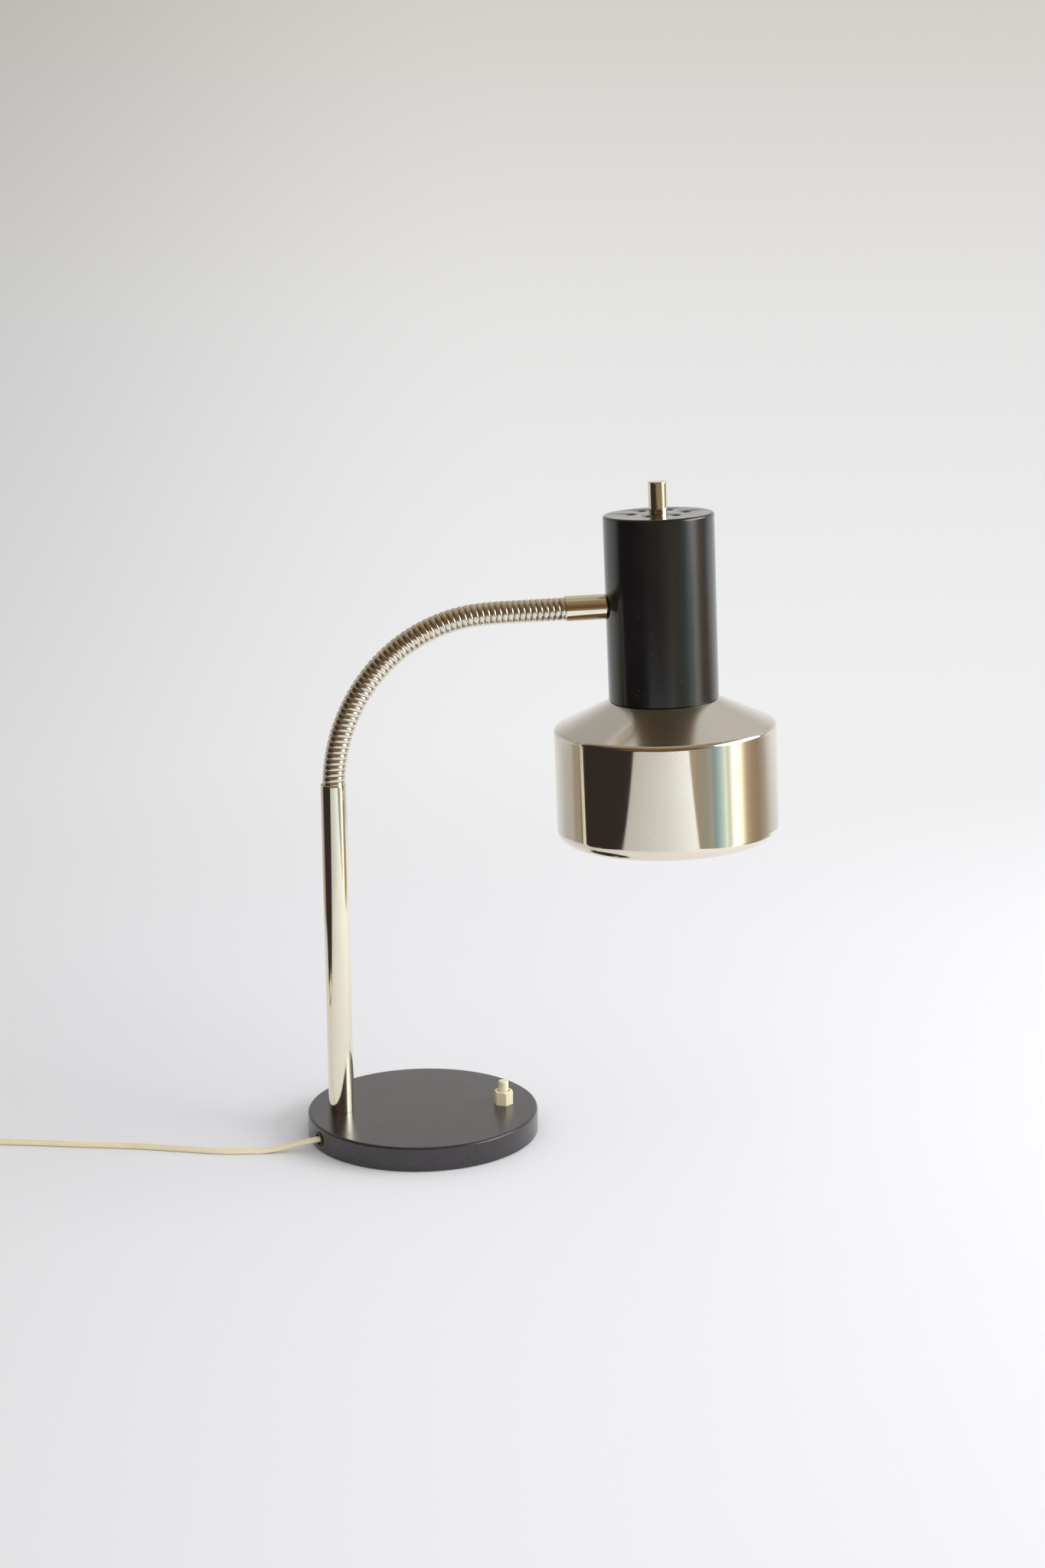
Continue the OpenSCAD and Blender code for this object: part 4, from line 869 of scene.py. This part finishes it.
def round_about(tree, spot):
    """A painted reflection: the room as polished metal shows it, by compass direction from the shade."""
    turn = put(tree, "TexGradient", {"Vector": spot}, gradient_type="RADIAL").outputs["Fac"]
    room = ((-180, (0.69, 0.70, 0.73)), (-144, (0.62, 0.64, 0.70)), (-128, (0.47, 0.46, 0.47)),
            (-112, (0.48, 0.46, 0.45)), (-106, (0.36, 0.32, 0.26)), (-98, (0.36, 0.32, 0.24)),
            (-94, (0.10, 0.085, 0.07)), (-88, (0.036, 0.027, 0.026)), (-41, (0.034, 0.028, 0.028)),
            (0, (0.05, 0.04, 0.03)), (26, (0.45, 0.38, 0.29)), (32, (0.36, 0.32, 0.26)),
            (41, (0.34, 0.34, 0.28)), (46, (0.38, 0.41, 0.37)), (48.5, (0.30, 0.34, 0.35)),
            (52, (0.31, 0.45, 0.49)), (55.5, (0.45, 0.61, 0.65)), (59, (0.65, 0.77, 0.77)),
            (62, (0.88, 1.05, 0.98)), (65.5, (0.66, 0.68, 0.56)), (68.5, (1.05, 1.10, 1.02)),
            (73, (1.7, 1.75, 1.6)), (80, (1.5, 1.45, 1.2)), (86, (0.74, 0.62, 0.43)),
            (89.5, (0.49, 0.40, 0.30)), (97, (0.37, 0.29, 0.21)), (106, (0.33, 0.25, 0.18)),
            (119, (0.43, 0.39, 0.34)), (127, (0.56, 0.54, 0.53)), (138, (0.68, 0.67, 0.70)),
            (180, (0.69, 0.70, 0.73)))
    return stops(tree, turn, *[(a / 360 + 0.5, colour) for a, colour in room])


paper, tree, shader = surface("paper", (0.89, 0.89, 0.905), 0.9)
shader.inputs["Specular IOR Level"].default_value = 0.2
spot = put(tree, "SeparateXYZ", {"Vector": on_piece(tree)}).outputs
# Painted shade: the paper's colour is darker to the left, where less light falls.
tree.links.new(laid_over(tree, eased(tree, spot["X"], -0.55, 0.05), (0.80, 0.80, 0.805, 1),
                         (0.895, 0.895, 0.912, 1)), shader.inputs["Base Color"])
# Painted shade: for the camera, the back of the paper and the far floor glow in a painted gradient, darker
# upwards and to the left, going over to plain pale far out.
across = eased(tree, spot["X"], -0.75, 0.27)
painted_shade_upward = stops(tree, ranged(tree, spot["Z"], 0, 2.2), (0, (0.68, 0.68, 0.68)), (0.05, (0.66, 0.66, 0.66)),
             (0.21, (0.61, 0.605, 0.60)), (0.40, (0.515, 0.497, 0.468)), (0.62, (0.41, 0.39, 0.36)),
             (1, (0.43, 0.41, 0.375)))
behind = put(tree, "VectorMath", {0: painted_shade_upward, "Scale": ranged(tree, across, 0, 1, 0.945, 1.285)},
             operation="SCALE").outputs["Vector"]
room_turn, pale = math.radians(-98.5), (0.76, 0.76, 0.77, 1)
turned_spot = on_piece(tree, (0.155, 0, 0), (0, 0, room_turn))
flat = put(tree, "Mapping", {"Vector": turned_spot, "Scale": (1, 1, 0)}).outputs["Vector"]
distance = put(tree, "VectorMath", {0: flat}, operation="LENGTH").outputs["Value"]
far = eased(tree, distance, 0.62, 0.74)
back = eased(tree, spot["Y"], 0.35, 1.2)
rays = put(tree, "LightPath").outputs
shown = maths(tree, "MAXIMUM", back, rays["Is Camera Ray"])
level_run = put(tree, "CombineXYZ", {"X": spot["X"], "Y": spot["Y"]}).outputs["Vector"]
level_run = put(tree, "VectorMath", {0: level_run}, operation="LENGTH").outputs["Value"]
out_there = eased(tree, level_run, 0.85, 1.5)
pale_end = times(tree, out_there, ranged(tree, back, 1, 0))
behind = laid_over(tree, pale_end, behind, pale)
# Painted reflection: to reflection rays, the floor away from the lamp glows with a painted room, a pale table
# top in front and darker walls round it.
table_left = maths(tree, "SUBTRACT", spot["X"], times(tree, spot["Y"], 0.3))
left_back = maths(tree, "ADD", spot["Y"], times(tree, spot["X"], 0.34))
beyond = maths(tree, "MAXIMUM",
               times(tree, eased(tree, table_left, -0.295, -0.325), ranged(tree, left_back, -0.08, -0.105)),
               times(tree, ranged(tree, spot["X"], 0.49, 0.53), ranged(tree, spot["Y"], 0.38, 0.28)))
ahead_of = put(tree, "SeparateXYZ", {"Vector": turned_spot}).outputs
table = times(tree, times(tree, eased(tree, table_left, -0.325, -0.295), eased(tree, spot["X"], 0.53, 0.49)),
              times(tree, ranged(tree, ahead_of["X"], 0, 0.1), eased(tree, ahead_of["X"], 1.42, 1.30)))
painted_table_reflection = stops(tree, ranged(tree, ahead_of["Y"], -0.7, 0.5), (0, (0.50, 0.51, 0.50)),
                  (0.18, (0.59, 0.60, 0.60)), (0.6, (0.76, 0.79, 0.80)), (1, (1.05, 1.10, 1.14)))
painted_room_reflection = laid_over(tree, table, round_about(tree, turned_spot), painted_table_reflection)
painted_surround = laid_over(tree, shown, painted_room_reflection, behind)
painted_glow = put(tree, "Emission", {"Color": painted_surround}).outputs["Emission"]
# Painted glow: for the camera on the back and far floor, and for reflection rays away from the lamp, the paper
# glows with these painted colours and is not lit.
painted_backdrop_share = times(tree, rays["Is Camera Ray"], maths(tree, "MAXIMUM", back, out_there))
painted_reflection_share = times(tree, rays["Is Glossy Ray"],
                 maths(tree, "MAXIMUM", far, maths(tree, "MAXIMUM", back, beyond)))
glowing = put(tree, "MixShader", {0: maths(tree, "MAXIMUM", painted_backdrop_share, painted_reflection_share),
                                  1: shader.outputs["BSDF"], 2: painted_glow})
underside = put(tree, "NewGeometry").outputs["Backfacing"]
from_below = put(tree, "MixShader", {0: underside, 1: glowing.outputs["Shader"],
                                     2: put(tree, "BsdfTransparent").outputs["BSDF"]})
tree.links.new(from_below.outputs["Shader"], tree.nodes["Material Output"].inputs["Surface"])
bm = bmesh.new()
fold = [bm.verts.new((x, 1, 0)) for x in (4, -4)]
crease = bm.edges.new(fold)
shifted(bm, bmesh.ops.extrude_edge_only(bm, edges=[crease]), (0, -4, 0))
curved = bmesh.ops.spin(bm, geom=[*fold, crease], cent=(0, 1, 1.2), axis=(1, 0, 0), angle=math.pi / 2,
                        steps=20)
upper = [e for e in curved["geom_last"] if isinstance(e, bmesh.types.BMEdge)]
shifted(bm, bmesh.ops.extrude_edge_only(bm, edges=upper), (0, 0, 2.3))
bmesh.ops.remove_doubles(bm, verts=bm.verts, dist=0.0001)
sheet = bpy.data.meshes.new("backdrop")
closed_up(bm, sheet, 60)
if sum(face.normal.z for face in sheet.polygons) < 0:
    sheet.flip_normals()
sheet.materials.append(paper)
backdrop = added("backdrop", sheet)

# ------------------------------------------------------------------ light
# One large soft window light from the right, and an even fill from all round,
# a little weaker from the left.
window = bpy.data.lights.new("window", "AREA")
window.shape = "RECTANGLE"
window.size, window.size_y = 1.1, 1.8
window.energy = 28
window_object = added("window", window)
window_object.location = (1.83, -0.45, 0.93)
window_aim = Vector((0.05, 0, 0.1)) - window_object.location
window_object.rotation_euler = window_aim.to_track_quat("-Z", "Z").to_euler()
window_object.visible_camera = False
world = bpy.data.worlds.new("world")
scene.world = world
world.use_nodes = True
tree = world.node_tree
toward = put(tree, "TexCoord").outputs["Generated"]
side = put(tree, "VectorMath", {0: toward, 1: (0.924, -0.383, 0)}, operation="DOT_PRODUCT").outputs["Value"]
fill = laid_over(tree, ranged(tree, side, -1, 1), (0.33, 0.32, 0.31, 1), (1.06, 1.06, 1.08, 1))
height = put(tree, "SeparateXYZ", {"Vector": toward}).outputs["Z"]
compass = put(tree, "Mapping", {"Vector": toward, "Rotation": (0, 0, -room_turn)}).outputs["Vector"]
facing = put(tree, "VectorMath", {0: compass, 1: (1, 0, 0)}, operation="DOT_PRODUCT").outputs["Value"]
front_wall = stops(tree, ranged(tree, height, -0.3, 1), (0, (0.43, 0.36, 0.23)), (0.23, (0.205, 0.126, 0.064)),
                   (0.40, (0.124, 0.066, 0.032)), (0.57, (0.151, 0.083, 0.049)), (0.72, (0.19, 0.118, 0.066)),
                   (0.85, (0.261, 0.179, 0.093)), (0.95, (0.287, 0.208, 0.108)), (1, (0.46, 0.42, 0.36)))
walls = laid_over(tree, eased(tree, facing, 0.55, 0.85), round_about(tree, compass), front_wall)
ceiling = laid_over(tree, eased(tree, facing, -0.1, -0.55), front_wall, (0.55, 0.53, 0.49, 1))
room = laid_over(tree, eased(tree, height, 0.35, 0.85), walls, ceiling)
rays = put(tree, "LightPath").outputs
lit = laid_over(tree, rays["Is Glossy Ray"], fill, room)
lit = laid_over(tree, rays["Is Camera Ray"], lit, pale)
tree.links.new(lit, tree.nodes["Background"].inputs["Color"])
